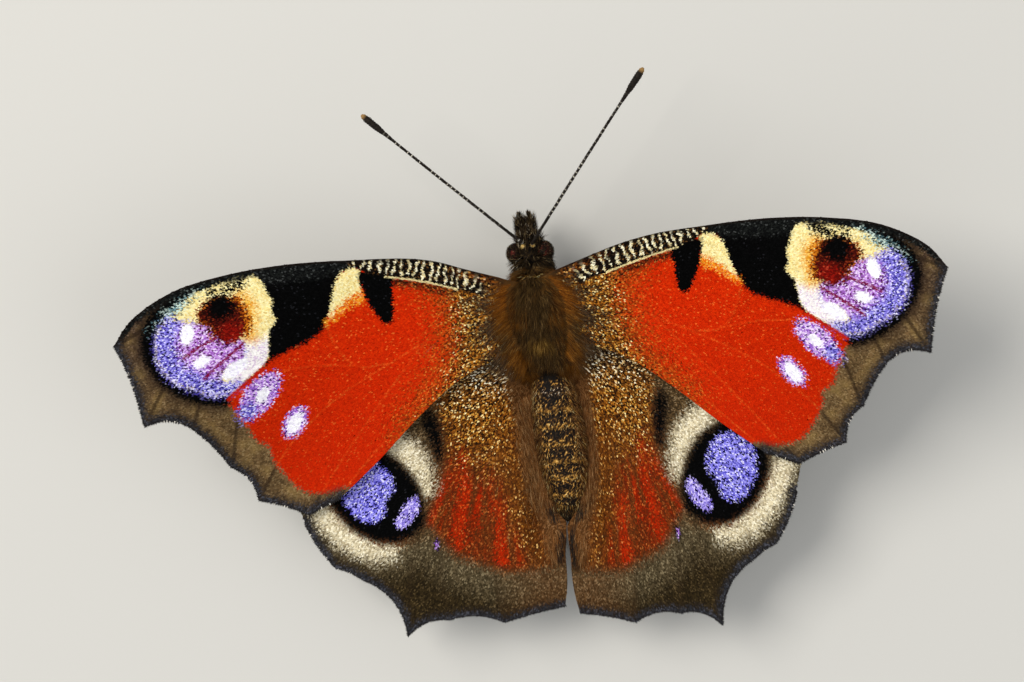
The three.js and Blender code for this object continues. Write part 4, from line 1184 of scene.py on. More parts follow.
skin_forms = [
    mould("thorax_form", THORAX_FRONT + 0.1, THORAX_REAR - 0.1,
          lambda y: THORAX_HALF_WIDTH * along(THORAX_SHAPE, y) - THORAX_COAT_DEPTH,
          lambda y: THORAX_HALF_HEIGHT * along(THORAX_SHAPE, y) - THORAX_COAT_DEPTH * 0.9,
          spine_x, thorax_z, 2.3),
    mould("abdomen_form", ABDOMEN_FRONT + 1.2, ABDOMEN_TIP + 0.1, abdomen_half,
          lambda y: abdomen_half(y) * 0.95, spine_x, abdomen_z, 2.0),
    mould("head_form", HEAD_Y + 1.0, HEAD_Y - 1.0,
          lambda y: 0.98 * head_size(y), lambda y: 1.02 * head_size(y),
          lambda y: np.full_like(y, HEAD_X), lambda y: np.full_like(y, HEAD_Z), 2.2),
    mould("neck_form", HEAD_REAR + 0.4, THORAX_FRONT - 0.9, lambda y: np.full_like(y, 1.05),
          lambda y: np.full_like(y, 0.95), spine_x, lambda y: np.full_like(y, 5.15), 2.0),
]
bpy.ops.object.select_all(action="DESELECT")
for form in skin_forms:
    form.select_set(True)
bpy.context.view_layer.objects.active = skin_forms[0]
bpy.ops.object.join()
skin = skin_forms[0]
melt = skin.modifiers.new("melt", "REMESH")
melt.mode = "VOXEL"
melt.voxel_size = SKIN_VOXEL
relax = skin.modifiers.new("relax", "SMOOTH")
relax.factor = 0.5
relax.iterations = 6
apply_modifiers(skin)
print("skin:", len(skin.data.vertices), "vertices")

# %% [markdown]
# ## Colours of the body
# The thorax is dark olive brown in the middle with tawny flanks and a paler scutellum behind. The abdomen is
# dark with gold flecks and paler hind edges to its rings, and the head is dark brown with a few pale hairs.
# These are fields again, worked out from where a hair stands, so that the skin and the hairs on it carry the
# same markings.


# %% Fields and material of the body
WAIST = -4.1


def body_fields(p):
    """The body's markings at each place: a patch is 1 at its middle and 0 at its edge."""
    x, y, z = p[:, 0], p[:, 1], p[:, 2]
    thorax_half = THORAX_HALF_WIDTH * along(THORAX_SHAPE, y)
    half = np.where(y > WAIST, thorax_half, ABDOMEN_HALF_WIDTH * along(ABDOMEN_SHAPE, y))
    flank = np.abs(x - spine_x(y)) / np.maximum(half, 0.4) - 0.24 * np.exp(-(((y + 0.5) / 0.9) ** 2))
    ring = np.mod((ABDOMEN_FRONT - y) / RING_LENGTH, 1.0)
    return {
        "flank": flank,
        "belly": smooth((5.2 - z) / 1.6),
        "abdomen": smooth((-3.9 - y) / 0.5),
        "head": smooth((y - 3.55) / 0.5),
        "ring": ring,
        "scutellum": 1 - np.hypot((x - spine_x(y)) / 1.0, (y + 1.35) / 0.7),
        "spot": 1 - np.hypot((x - spine_x(y)) / 0.95, (y + 3.9) / 0.75),
        "dusk": smooth((-13.7 - y) / 0.8),
        "shoulder": 1 - np.hypot((np.abs(x - spine_x(y)) - 1.9) / 1.0, (y - 2.3) / 1.8),
        "silver": 1 - np.hypot((x - spine_x(y)) / 1.35, (y + 5.3) / 0.45),
    }


THORAX_DARK = [
    (0.0, srgb(50, 34, 14)), (0.35, srgb(76, 54, 24)), (0.75, srgb(102, 76, 38)), (0.95, srgb(134, 104, 62))]
TAWNY = [
    (0.0, srgb(86, 50, 10)), (0.35, srgb(122, 72, 14)), (0.75, srgb(148, 92, 26)),
    (0.95, srgb(172, 120, 54))]
SCUTELLUM = [(0.0, srgb(98, 68, 25)), (0.5, srgb(138, 101, 42)), (0.9, srgb(172, 134, 68))]
ABDOMEN_DARK = [
    (0.0, srgb(14, 9, 5)), (0.4, srgb(38, 26, 15)), (0.62, srgb(84, 56, 24)), (0.8, srgb(190, 138, 62)),
    (0.93, srgb(252, 222, 150))]
RING_GOLD = [
    (0.0, srgb(40, 26, 12)), (0.35, srgb(120, 80, 30)), (0.62, srgb(206, 152, 70)),
    (0.9, srgb(252, 222, 150))]
SILVER = [(0.0, srgb(18, 12, 9)), (0.55, srgb(80, 60, 38)), (0.84, srgb(226, 212, 190))]
HEAD_DARK = [
    (0.0, srgb(16, 11, 7)), (0.45, srgb(50, 37, 20)), (0.85, srgb(94, 73, 44)), (0.955, srgb(186, 158, 112)),
    (0.985, srgb(255, 240, 208))]
BELLY = [(0.0, srgb(34, 25, 18)), (0.5, srgb(62, 48, 34)), (0.9, srgb(92, 76, 58))]
WING_GREY = [(0.0, srgb(60, 44, 28)), (0.4, srgb(92, 70, 47)), (0.85, srgb(128, 104, 78))]
# GLINT is a painted highlight: light caught on gold hair tips, used for the feeler tufts and the nape.
GLINT = [(0.0, srgb(232, 178, 76)), (0.5, srgb(255, 236, 168))]
GUTTER_BROWN = [(0.0, srgb(110, 68, 33)), (0.4, srgb(154, 102, 54)), (0.85, srgb(194, 148, 96))]
SHOULDER = [(0.0, srgb(104, 54, 6)), (0.4, srgb(140, 78, 12)), (0.85, srgb(176, 110, 34))]
DUSK = [(0.0, srgb(26, 23, 22)), (0.5, srgb(48, 42, 36)), (0.9, srgb(84, 72, 60))]
BODY, WING_ROOT, GLINT_HAIR, GUTTER_HAIR, DUSKY = range(5)
OWN_COLOURS = [(WING_ROOT, WING_GREY), (GLINT_HAIR, GLINT), (GUTTER_HAIR, GUTTER_BROWN), (DUSKY, DUSK)]


def make_body_material():
    recipe = Recipe("body_fur", roughness=0.65, specular=0.1)
    pick, shift, tone = scale_numbers(recipe)
    number, span, blend, ramp = recipe.number, recipe.span, recipe.blend, recipe.ramp
    flank = recipe.math("MULTIPLY_ADD", shift, 0.5, number("flank"))
    patchy = recipe.math("MULTIPLY_ADD", recipe.noise(620, 1.0), 1.1, flank)
    colour = blend(ramp(pick, THORAX_DARK), ramp(pick, TAWNY), span(patchy, 0.85, 1.35))
    colour = blend(colour, ramp(pick, SHOULDER), span(number("shoulder"), 0.0, 0.7))
    colour = blend(colour, ramp(pick, SCUTELLUM), span(number("scutellum"), 0.0, 0.5))
    dark = blend(ramp(pick, ABDOMEN_DARK), ramp(pick, RING_GOLD), span(number("ring"), 0.62, 0.85, 0.0, 0.7))
    dark = blend(dark, ramp(pick, GUTTER_BROWN), span(flank, 0.72, 0.95, 0.0, 0.8))
    dark = blend(dark, ramp(pick, SILVER), span(number("silver"), 0.0, 0.5))
    dark = blend(dark, ramp(pick, DUSK), recipe.math("MULTIPLY", number("dusk"), 0.8))
    colour = blend(colour, dark, number("abdomen"))
    colour = blend(colour, srgb(12, 8, 5), span(number("spot"), 0.0, 0.35, 0.0, 0.92))
    colour = blend(colour, ramp(pick, HEAD_DARK), number("head"))
    colour = blend(colour, ramp(pick, BELLY), recipe.math("MULTIPLY", number("belly"), 0.8))
    for own, colours in OWN_COLOURS:
        is_own = recipe.math("COMPARE", number("own"), float(own), 0.1)
        colour = blend(colour, ramp(pick, colours), is_own)
    colour = with_tone(recipe, colour, tone, 0.8, 1.15)
    recipe.bump(recipe.noise(7000, 3.0), 0.00004, 0.5)
    return recipe.colour(colour)


BODY_MATERIAL = make_body_material()


def note_body(piece, roots, repeat=1, own=BODY):
    """Writes the body's fields and each hair's own colour list, if it has one."""
    fields = dict(body_fields(roots), own=np.broadcast_to(np.asarray(own, float), (len(roots),)))
    for field, values in fields.items():
        note(piece, field, np.repeat(values, repeat))
    note(piece, "grain", np.repeat(rng.random((len(roots), 3)), repeat, axis=0))


# %% [markdown]
# ## Hairs
# Fur on an insect this size is some fifty thousand fine hairs. Particle hair does not export, so each hair is
# a thin three sided spike: a root ring, a bend and a tip, ten triangles. Roots are scattered over the skin by
# area, and each hair starts along the lie of the coat and leans to its neighbours, so the coat shows soft
# clumps.


# %% Scattering and making hairs
def scatter(piece, count, in_order=False):
    """Random places on a mesh, evenly by area, with the normal there.

    With in_order, the triangles are first put in the order of their vertices."""
    mesh = piece.data
    mesh.calc_loop_triangles()
    index = np.empty(len(mesh.loop_triangles) * 3, np.int32)
    mesh.loop_triangles.foreach_get("vertices", index)
    index = index.reshape(-1, 3)
    if in_order:
        index = index[np.lexsort(index.T)]
    corners = points_of(piece)[index]
    cross = np.cross(corners[:, 1] - corners[:, 0], corners[:, 2] - corners[:, 0])
    area = np.linalg.norm(cross, axis=1)
    chosen = rng.choice(len(area), count, p=area / area.sum())
    a, b = rng.random(count), rng.random(count)
    flip = a + b > 1
    a[flip], b[flip] = 1 - a[flip], 1 - b[flip]
    c = corners[chosen]
    roots = c[:, 0] + a[:, None] * (c[:, 1] - c[:, 0]) + b[:, None] * (c[:, 2] - c[:, 0])
    return roots, cross[chosen] / area[chosen][:, None]


def clumped(roots, size):
    """A slow wander over the surface: neighbours lean alike."""
    k = 2 * math.pi / size
    x, y, z = roots.T
    return np.stack((
        np.sin(k * x + 1.9 * np.sin(k * y * 0.7)), np.sin(k * y * 0.9 + 2.3 * np.sin(k * z * 0.6)),
        np.sin(k * z + 1.7 * np.sin(k * x * 0.8))), -1)


HAIR_POINTS = 7
HAIR_ANGLES = np.arange(3) * 2 * math.pi / 3
HAIR_FACES = np.array(
    [(k, (k + 1) % 3, 3 + (k + 1) % 3) for k in range(3)] + [(k, 3 + (k + 1) % 3, 3 + k) for k in range(3)]
    + [(3 + k, 3 + (k + 1) % 3, 6) for k in range(3)] + [(0, 2, 1)])


def grow(name, roots, normals, lie, length, radius, lift, sink=0.06, droop=0.35):
    """Joined hairs. The lie is pressed into the surface, and lift tips it away from it."""
    count = len(roots)
    length, radius = np.broadcast_to(length, (count,)), np.broadcast_to(radius, (count,))
    lift = np.broadcast_to(lift, (count,))[:, None]
    flat = unit(lie - normals * np.sum(lie * normals, axis=1)[:, None])
    start = unit(flat * np.cos(lift) + normals * np.sin(lift))
    later = unit(flat * np.cos(lift * droop) + normals * np.sin(lift * droop))
    side = unit(np.cross(start, normals + 1e-4))
    up = np.cross(side, start)
    base = roots - normals * sink
    middle = base + start * (length * 0.55)[:, None]
    tip = middle + later * (length * 0.5)[:, None]
    ring = [side * math.cos(a) + up * math.sin(a) for a in HAIR_ANGLES]
    low_ring = [base + r * radius[:, None] for r in ring]
    high_ring = [middle + r * radius[:, None] * 0.72 for r in ring]
    corners = np.stack((*low_ring, *high_ring, tip), axis=1).reshape(-1, 3)
    triangles = (HAIR_FACES[None] + HAIR_POINTS * np.arange(count)[:, None, None]).reshape(-1, 3)
    return joined_mesh(name, corners, triangles)


HAIR_SPOT = np.array([(0, 0), (0.5, 0), (1, 0), (0, 0.5), (0.5, 0.5), (1, 0.5), (0.5, 1)]) * BAKE_PATCH
BODY_MAP_REAR, BODY_MAP_LENGTH = 16, 26


def bake_round_body(piece, roots):
    """Hairs of the body on the map: round the body one way, along it the other way."""
    angle = np.arctan2(roots[:, 2] - abdomen_z(roots[:, 1]) - 0.5, roots[:, 0] - spine_x(roots[:, 1]))
    home = np.stack((angle / (2 * math.pi) + 0.5, (roots[:, 1] + BODY_MAP_REAR) / BODY_MAP_LENGTH), -1) * 0.99
    bake_spots(piece, home, HAIR_SPOT)


def coat(name, roots, normals, lie, length, radius, lift, droop=0.35):
    hairs = grow(name, roots, normals, lie, length, radius, lift, droop=droop)
    note_body(hairs, roots, HAIR_POINTS)
    bake_round_body(hairs, roots)
    finish_piece(hairs, name, [BODY_MATERIAL], round_off=False)


# %% The coat of the body
SKIN_HAIRS, HAIRS_PER_PIECE = 55000, 19000
ABDOMEN_COAT_FROM, HEAD_COAT_FROM = -4.0, 3.75
skin_roots, skin_normals = scatter(skin, SKIN_HAIRS)
beside_eye = (np.abs(skin_roots[:, 1] - HEAD_Y) < 0.6) & (np.abs(skin_roots[:, 0] - HEAD_X) > 0.84) & (
    np.abs(skin_roots[:, 2] - HEAD_Z) < 0.5)
skin_roots, skin_normals = skin_roots[~beside_eye], skin_normals[~beside_eye]
y, z = skin_roots[:, 1], skin_roots[:, 2]
off_middle = skin_roots[:, 0] - spine_x(y)
between_wings = (np.abs(skin_normals[:, 0]) > 0.75) & (np.abs(z - 6.6) < 0.5) & (y > -3)
outward = np.sign(off_middle) * np.clip(np.abs(off_middle) / 2, 0, 1)
side_share = smooth((np.abs(outward) - 0.35) / 0.5)
backward = np.stack((outward * mix(0.25, 1.1, side_share), -np.ones(len(y)), -0.1 - 0.1 * side_share), -1)
forward = np.stack((outward * 0.8, np.ones(len(y)), np.full(len(y), 0.5)), -1)
lie = np.where((y > HEAD_Y - 0.35)[:, None], forward, backward)
collar = smooth((y - 2.9) / 0.5) * (1 - smooth((y - 4.5) / 0.3))
parting = np.exp(-(((y - HEAD_Y + 0.35) / 0.24) ** 2))
lie = lie + 0.3 * clumped(skin_roots, 0.9) + rng.normal(0, 0.13, lie.shape)
on_abdomen, on_head = y < ABDOMEN_COAT_FROM, y > HEAD_COAT_FROM
on_thorax = ~on_abdomen & ~on_head
print("hairs on thorax, abdomen, head:", on_thorax.sum(), on_abdomen.sum(), on_head.sum())


def split_rows(rows):
    return np.array_split(rows, math.ceil(len(rows) / HAIRS_PER_PIECE))


thorax_rows = np.flatnonzero(on_thorax)
for number, rows in enumerate(split_rows(thorax_rows), start=1):
    longer = 0.3 * side_share[rows] - 0.55 * smooth((-2.7 - y[rows]) / 0.9) * (1 - side_share[rows])
    pressed = np.where(between_wings[rows], 0.3, 1.0)
    coat(f"thorax_coat_{number}", skin_roots[rows], skin_normals[rows], lie[rows],
         (rng.uniform(0.8, 1.3, len(rows)) + longer) * pressed, 0.018,
         (rng.uniform(0.3, 0.65, len(rows)) + 0.4 * collar[rows]) * pressed)
abdomen_rows = np.flatnonzero(on_abdomen)
for number, rows in enumerate(split_rows(abdomen_rows), start=1):
    near_tip = smooth((-13.0 - y[rows]) / 1.5)
    beside = smooth((body_fields(skin_roots[rows])["flank"] - 0.6) / 0.3)
    coat(f"abdomen_coat_{number}", skin_roots[rows], skin_normals[rows], lie[rows],
         rng.uniform(0.17, 0.3, len(rows)) + 0.4 * near_tip + 0.5 * beside, 0.031 - 0.014 * beside,
         rng.uniform(0.15, 0.4, len(rows)) + 0.2 * beside)
head_rows = np.flatnonzero(on_head)
brow = smooth((y[head_rows] - 5.35) / 0.4)
coat("head_coat", skin_roots[head_rows], skin_normals[head_rows], lie[head_rows],
     rng.uniform(0.35, 0.68, len(head_rows)) + 0.4 * collar[head_rows] + 0.6 * brow,
     0.018, mix(rng.uniform(0.5, 1.0, len(head_rows)), 1.35, parting[head_rows]), droop=0.8)
# A thin arc of short hairs across the nape in the GLINT colours: a painted highlight, the light caught by the
# tips of the thorax hairs there.
nape = np.flatnonzero((np.abs(y - 3.15) < 0.05) & (np.abs(off_middle - 0.15) < 0.7) & (z > 6.2))
nape_glints = grow("nape_glints", skin_roots[nape], skin_normals[nape], lie[nape], 0.55, 0.014, 1.0)
note_body(nape_glints, skin_roots[nape], HAIR_POINTS, GLINT_HAIR)
bake_round_body(nape_glints, skin_roots[nape])
finish_piece(nape_glints, "nape_glints", [BODY_MATERIAL], round_off=False)
note_body(skin, points_of(skin))
finish_piece(skin, "body_skin", [BODY_MATERIAL], ["thorax", "abdomen", "head"])

# %% [markdown]
# ## Eyes
# The eyes are large dark domes set deep in the sides of the head, brown with a red cast. Their thousands of
# facets are too fine to model, so they are a cell pattern in the bump. The eyes of this butterfly are hairy,
# and fine dark bristles between the facets take away their gloss. Blender makes a sphere's faces in another
# order each time, so they are put in a fixed order first, and every run gets the same bristles.

# %% Making the eyes
EYE_OFF, EYE_RADII = 1.03, (0.64, 0.7, 0.82)
EYE_Y = HEAD_Y - 0.12
EYE_BRISTLES = 3000


def make_eye_material():
    recipe = Recipe("compound_eye", roughness=0.5, specular=0.1)
    cells = recipe.nodes.new("ShaderNodeTexVoronoi")
    cells.inputs["Scale"].default_value = 26000
    cells.inputs["Randomness"].default_value = 0.25
    recipe.put(recipe.nodes.new("ShaderNodeTexCoord").outputs["Object"], cells.inputs["Vector"])
    cloud = recipe.noise(2600, 2.0)
    colour = recipe.ramp(cloud, [(0.35, srgb(13, 7, 5)), (0.52, srgb(34, 16, 11)), (0.7, srgb(106, 32, 22))],
                         stepped=False)
    recipe.bump(cells.outputs["Distance"], 0.00002, 0.5)
    return recipe.colour(colour)


EYE_MATERIAL = make_eye_material()
for side_name, side in SIDES.items():
    bpy.ops.object.select_all(action="DESELECT")
    bpy.ops.mesh.primitive_uv_sphere_add(
        segments=56, ring_count=36, radius=1, location=(HEAD_X + side * EYE_OFF, EYE_Y, HEAD_Z + 0.05),
        rotation=(0, math.radians(90), 0))
    eye = bpy.context.object
    bpy.ops.object.transform_apply(location=False, rotation=True, scale=False)
    eye.scale = EYE_RADII
    bpy.ops.object.transform_apply(location=True, rotation=True, scale=True)
    roots, normals = scatter(eye, EYE_BRISTLES, in_order=True)
    outer = (roots[:, 0] - HEAD_X) * side > 0.75
    roots, normals = roots[outer], normals[outer]
    any_way = rng.normal(0, 1, roots.shape)
    length = rng.uniform(0.1, 0.24, len(roots))
    bristles = grow("bristles", roots, normals, any_way, length, 0.0085, 1.1, sink=0.01)
    bake_round_body(bristles, roots)
    note_body(bristles, roots, HAIR_POINTS)
    finish_piece(bristles, f"eye_{side_name}_bristles", [BODY_MATERIAL], round_off=False)
    finish_piece(eye, f"eye_{side_name}_dome", [EYE_MATERIAL], [f"eye_{side_name}"])

# %% [markdown]
# ## Rods laid on a line
# Feelers, legs, palps and tongue are all jointed rods. One rod is a circle, extruded ring by ring along Z,
# with one unit between rings. Ring number and angle then tell each point where it belongs on a bent line, so
# a limb is straightened out for modelling and laid in its pose as the last step.


# %% A rod and its line
ROD_SIDES = 12


def line_frames(points, count, across=None):
    """Centres, headings and two square directions at even steps along a smooth line."""
    line = by_length(smooth_line(np.array(points, float), per_span=16), np.linspace(0, 1, count))
    heading = unit(np.gradient(line, axis=0))
    other = np.tile(np.array(across if across else (0.0, 0.0, 1.0), float), (count, 1))
    side = unit(np.cross(heading, other))
    return line, heading, side, np.cross(side, heading)


def face_outwards(piece):
    only(piece)
    bpy.ops.object.mode_set(mode="EDIT")
    bpy.ops.mesh.select_all(action="SELECT")
    bpy.ops.mesh.normals_make_consistent(inside=False)
    bpy.ops.object.mode_set(mode="OBJECT")


def make_rod(frames, radii):
    bpy.ops.object.select_all(action="DESELECT")
    bpy.ops.mesh.primitive_circle_add(vertices=ROD_SIDES, radius=1, fill_type="NGON")
    rod = bpy.context.object
    bpy.ops.object.mode_set(mode="EDIT")
    bpy.ops.mesh.select_all(action="SELECT")
    for _ in range(len(radii) - 1):
        bpy.ops.mesh.extrude_region_move(TRANSFORM_OT_translate={"value": (0, 0, 1)})
    face_outwards(rod)
    p = points_of(rod)
    ring = np.rint(p[:, 2]).astype(int)
    a = np.arctan2(p[:, 1], p[:, 0])
    line, _, side, up = frames
    r = np.asarray(radii)[ring][:, None]
    set_points(rod, line[ring] + side[ring] * np.cos(a)[:, None] * r + up[ring] * np.sin(a)[:, None] * r)
    note(rod, "along", ring / (len(radii) - 1))
    face_outwards(rod)
    return rod


def on_rod(frames, radii, t, angle):
    """Places on a laid rod, with normal and heading."""
    line, heading, side, up = frames
    at = np.clip(t, 0, 1) * (len(line) - 1)
    low = np.minimum(at.astype(int), len(line) - 2)
    f = (at - low)[:, None]

    def there(rows):
        return rows[low] * (1 - f) + rows[low + 1] * f

    normal = unit(there(side) * np.cos(angle)[:, None] + there(up) * np.sin(angle)[:, None])
    radius = there(np.asarray(radii)[:, None])
    return there(line) + normal * radius, normal, unit(there(heading))


def jointed(count, every, table, swell):
    """Radii along a limb from a table, with a small swelling at each joint."""
    t = np.linspace(0, 1, count)
    return along(np.array(table), t) * (1 + swell * np.cos(2 * math.pi * t * every) ** 8)


# %% [markdown]
# ## Feelers
# A feeler is a thin beaded shaft of some forty joints, dark with a pale ring at each, and ends in a small
# club with a pale tip. A tuft of gold hairs stands at its root, its bright colour a painted highlight of the
# light caught on them, which shows as a bright speck on the dark head.

# %% Making the feelers
FEELER = {
    "right": ((0.36, 5.5, 5.75), (0.42, 5.55, 6.3), (9.8, 17.26, 8.6)),
    "left": ((-0.36, 5.6, 5.75), (-0.42, 5.7, 6.3), (-10.7, 15.86, 8.6)),
}
FEELER_JOINTS, FEELER_RINGS = 42, 253
FEELER_SCALES, TUFT_HAIRS = 900, 90
FLOOR_CLEARANCE = 0.04
FEELER_RADII = [(0.0, 0.13), (0.06, 0.1), (0.8, 0.09), (0.86, 0.14), (0.9, 0.22), (0.96, 0.24), (0.99, 0.18),
                (1.0, 0.08)]


def make_limb_material(name, dark, pale, ringed):
    recipe = Recipe(name, roughness=0.5, specular=0.08)
    t = recipe.number("along")
    cloud = recipe.noise(5200, 3.0)
    colour = recipe.ramp(cloud, [(0.3, dark[0]), (0.7, dark[1])], stepped=False)
    if ringed:
        beat = recipe.math("SINE", recipe.math("MULTIPLY", t, 2 * math.pi * FEELER_JOINTS))
        shaft = recipe.span(t, 0.88, 0.8)
        broken = recipe.span(recipe.noise(1100, 2.0), 0.4, 0.5)
        ring = recipe.times(recipe.span(beat, 0.7, 0.92, 0.0, 0.85), recipe.times(shaft, broken))
        colour = recipe.blend(colour, pale, ring)
        colour = recipe.blend(colour, srgb(150, 116, 70), recipe.span(t, 0.975, 0.99))
    else:
        colour = recipe.blend(colour, pale, recipe.span(t, 0.55, 0.8, 0.0, 0.8))
    recipe.bump(recipe.noise(12000, 2.0), 0.00002, 0.5)
    return recipe.colour(colour)


FEELER_MATERIAL = make_limb_material(
    "feeler_shaft", (srgb(16, 13, 11), srgb(40, 33, 26)), srgb(206, 198, 180), ringed=True)
LEG_MATERIAL = make_limb_material(
    "leg_cuticle", (srgb(34, 25, 18), srgb(62, 46, 32)), srgb(140, 112, 78), ringed=False)


def bake_rod(piece, t, angle):
    home = np.stack((np.mod(angle / (2 * math.pi), 1.0), t), -1) * 0.99
    bake_spots(piece, home, HAIR_SPOT)


def short_scales(name, frames, radii, count, length, width, lift, material, low=0.0, high=1.0,
                 ragged=0.12):
    """Small flat lying spikes all over a rod, tips toward its end, none of them into the floor."""
    t, angle = rng.uniform(low, high, count), rng.uniform(0, 2 * math.pi, count)
    roots, normals, heading = on_rod(frames, radii, t, angle)
    tip_z = roots[:, 2] + (heading[:, 2] + normals[:, 2] * math.sin(lift)) * 1.3 * length
    above = tip_z > FLOOR_CLEARANCE
    t, angle, roots, normals, heading = (values[above] for values in (t, angle, roots, normals, heading))
    lie = heading + rng.normal(0, ragged, heading.shape)
    size = rng.uniform(1 - 2.5 * ragged, 1 + 2 * ragged, len(t)) * (1 - 0.6 * (t > 0.75) * (ragged > 0.2))
    hairs = grow(name, roots, normals, lie, size * length, width, lift, sink=0.02, droop=0.6)
    note(hairs, "along", np.repeat(t, HAIR_POINTS))
    note_body(hairs, roots, HAIR_POINTS)
    bake_rod(hairs, t, angle)
    finish_piece(hairs, name, [material], round_off=False)


for side_name, (inside, start, end) in FEELER.items():
    points = [(HEAD_X + inside[0], inside[1], inside[2])]
    for t in (0, 0.3, 0.6, 0.84, 0.92, 1):
        arch = math.sin(math.pi * t) * 0.35
        x, y, z = between(start, end, t)
        points.append((HEAD_X + x, y, z + arch))
    frames = line_frames(points, FEELER_RINGS)
    radii = jointed(FEELER_RINGS, FEELER_JOINTS, FEELER_RADII, 0.16)
    feeler = make_rod(frames, radii)
    finish_piece(feeler, f"feeler_{side_name}", [FEELER_MATERIAL], [f"antenna_{side_name}"])
    short_scales(f"feeler_{side_name}_scales", frames, radii, FEELER_SCALES, 0.16, 0.016, 0.25,
                 FEELER_MATERIAL, 0.03, 0.97)
    # The root tuft: gold hairs coloured brighter as a painted glint of the light on them.
    glint_tuft = np.array([(HEAD_X + inside[0] * 0.95, 5.35, 6.0)]) + rng.normal(0, 0.05, (TUFT_HAIRS, 3))
    upward = unit(np.array([(0.0, 0.35, 1.0)]) + rng.normal(0, 0.35, (TUFT_HAIRS, 3)))
    glints = grow("glints", glint_tuft, upward, rng.normal(0, 1, (TUFT_HAIRS, 3)), 0.2, 0.024, 0.9, sink=0.05)
    note_body(glints, glint_tuft, HAIR_POINTS, GLINT_HAIR)
    bake_round_body(glints, glint_tuft)
    finish_piece(glints, f"feeler_{side_name}_tuft", [BODY_MATERIAL], round_off=False)

# %% [markdown]
# ## Palps and tongue
# Two bristly palps stand out in front of the face like a short beak, and the tongue is rolled up between them
# as a watch spring.

# %% Making the palps and the tongue
PALP_X = float(spine_x(6.9))
PALP_RINGS = 25
PALP_BRISTLES, FACE_BRISTLES = 1700, 1500
PALP_RADII = [(0.0, 0.22), (0.3, 0.24), (0.7, 0.17), (1.0, 0.03)]
PALP_LINE = [(0.3, 5.55, 4.55), (0.36, 6.2, 4.75), (0.38, 6.8, 4.85), (0.38, 7.3, 5.1), (0.36, 7.75, 5.4)]
for side_name, side in SIDES.items():
    points = [(PALP_X + side * x, y, z) for x, y, z in PALP_LINE]
    frames = line_frames(points, PALP_RINGS)
    radii = jointed(PALP_RINGS, 3, PALP_RADII, 0.0)
    palp = make_rod(frames, radii)
    note_body(palp, points_of(palp))
    finish_piece(palp, f"palp_{side_name}_core", [BODY_MATERIAL], [f"palp_{side_name}"])
    short_scales(f"palp_{side_name}_bristles", frames, radii, PALP_BRISTLES, 0.5, 0.014, 0.62,
                 BODY_MATERIAL, ragged=0.26)
face_line = line_frames([(PALP_X, 5.3, 4.7), (PALP_X, 6.2, 4.78), (PALP_X, 7.1, 4.98)], PALP_RINGS)
face_radii = along(np.array([(0.0, 0.34), (0.6, 0.27), (1.0, 0.1)]), np.linspace(0, 1, PALP_RINGS))
face = make_rod(face_line, face_radii)
note_body(face, points_of(face))
finish_piece(face, "face_core", [BODY_MATERIAL])
short_scales("face_bristles", face_line, face_radii, FACE_BRISTLES, 0.5, 0.014, 0.7,
             BODY_MATERIAL, ragged=0.26)

COIL_CENTRE, COIL_TURNS = (6.25, 2.62), 1.08
COIL_RINGS = 121
coil = [(PALP_X, 5.5, 4.4), (PALP_X, 5.95, 4.1)]
for t in np.linspace(0, 1.6, 26):
    a = math.radians(100) - t * COIL_TURNS * 2 * math.pi
    r = mix(1.05, 0.32, t) if t < 1 else mix(0.32, 0.2, (t - 1) / 0.6)
    coil.append((PALP_X, COIL_CENTRE[0] + r * math.cos(a), COIL_CENTRE[1] + r * math.sin(a)))
coil_frames = line_frames(coil, COIL_RINGS, across=(1.0, 0.0, 0.0))
tongue = make_rod(coil_frames, jointed(COIL_RINGS, 45, [(0.0, 0.15), (0.3, 0.13), (1.0, 0.07)], 0.08))
finish_piece(tongue, "tongue", [LEG_MATERIAL], ["proboscis"])

# %% [markdown]
# ## Legs
# A peacock walks on four legs, and its short front pair is folded up under the head like two brushes. Each
# leg has its hip, thigh, shin and a foot of five joints, scaly all over, with spines on shin and foot. The
# feet lie flat on the floor where the solids' feet do.

# %% Making the legs
LEG_RINGS = 141
LEGS = {
    "midleg": {"hip": (0.95, 0.5, 2.52), "knee": (4.2, 0.9, 3.6), "shin": (6.9, 1.4, 0.75),
               "toe": (8.9, 1.9, 0.2)},
    "hindleg": {"hip": (0.95, -2.3, 2.84), "knee": (3.3, -5.0, 3.3), "shin": (4.9, -8.2, 0.75),
                "toe": (5.9, -10.3, 0.2)},
}
LEG_RADII = [(0.0, 0.3), (0.14, 0.3), (0.22, 0.22), (0.4, 0.2), (0.44, 0.17), (0.5, 0.15), (0.74, 0.15),
             (0.78, 0.11), (0.97, 0.1), (1.0, 0.07)]
LEG_SCALES, LEG_SPINES = 1500, 60
FOOT_Z = 0.11
FORELEG = [(0.55, 2.3, 4.0), (0.75, 2.5, 3.25), (0.95, 3.2, 2.55), (0.85, 4.1, 2.4), (0.7, 4.7, 2.9)]


def make_leg(name, points, radii):
    frames = line_frames(points, len(radii))
    leg = make_rod(frames, radii)
    note_body(leg, points_of(leg))
    finish_piece(leg, f"{name}_core", [LEG_MATERIAL], [name])
    short_scales(f"{name}_scales", frames, radii, LEG_SCALES, 0.26, 0.022, 0.22, LEG_MATERIAL,
                 0.03, 0.99)
    short_scales(f"{name}_spines", frames, radii, LEG_SPINES, 0.34, 0.02, 0.7, LEG_MATERIAL,
                 0.5, 0.96)


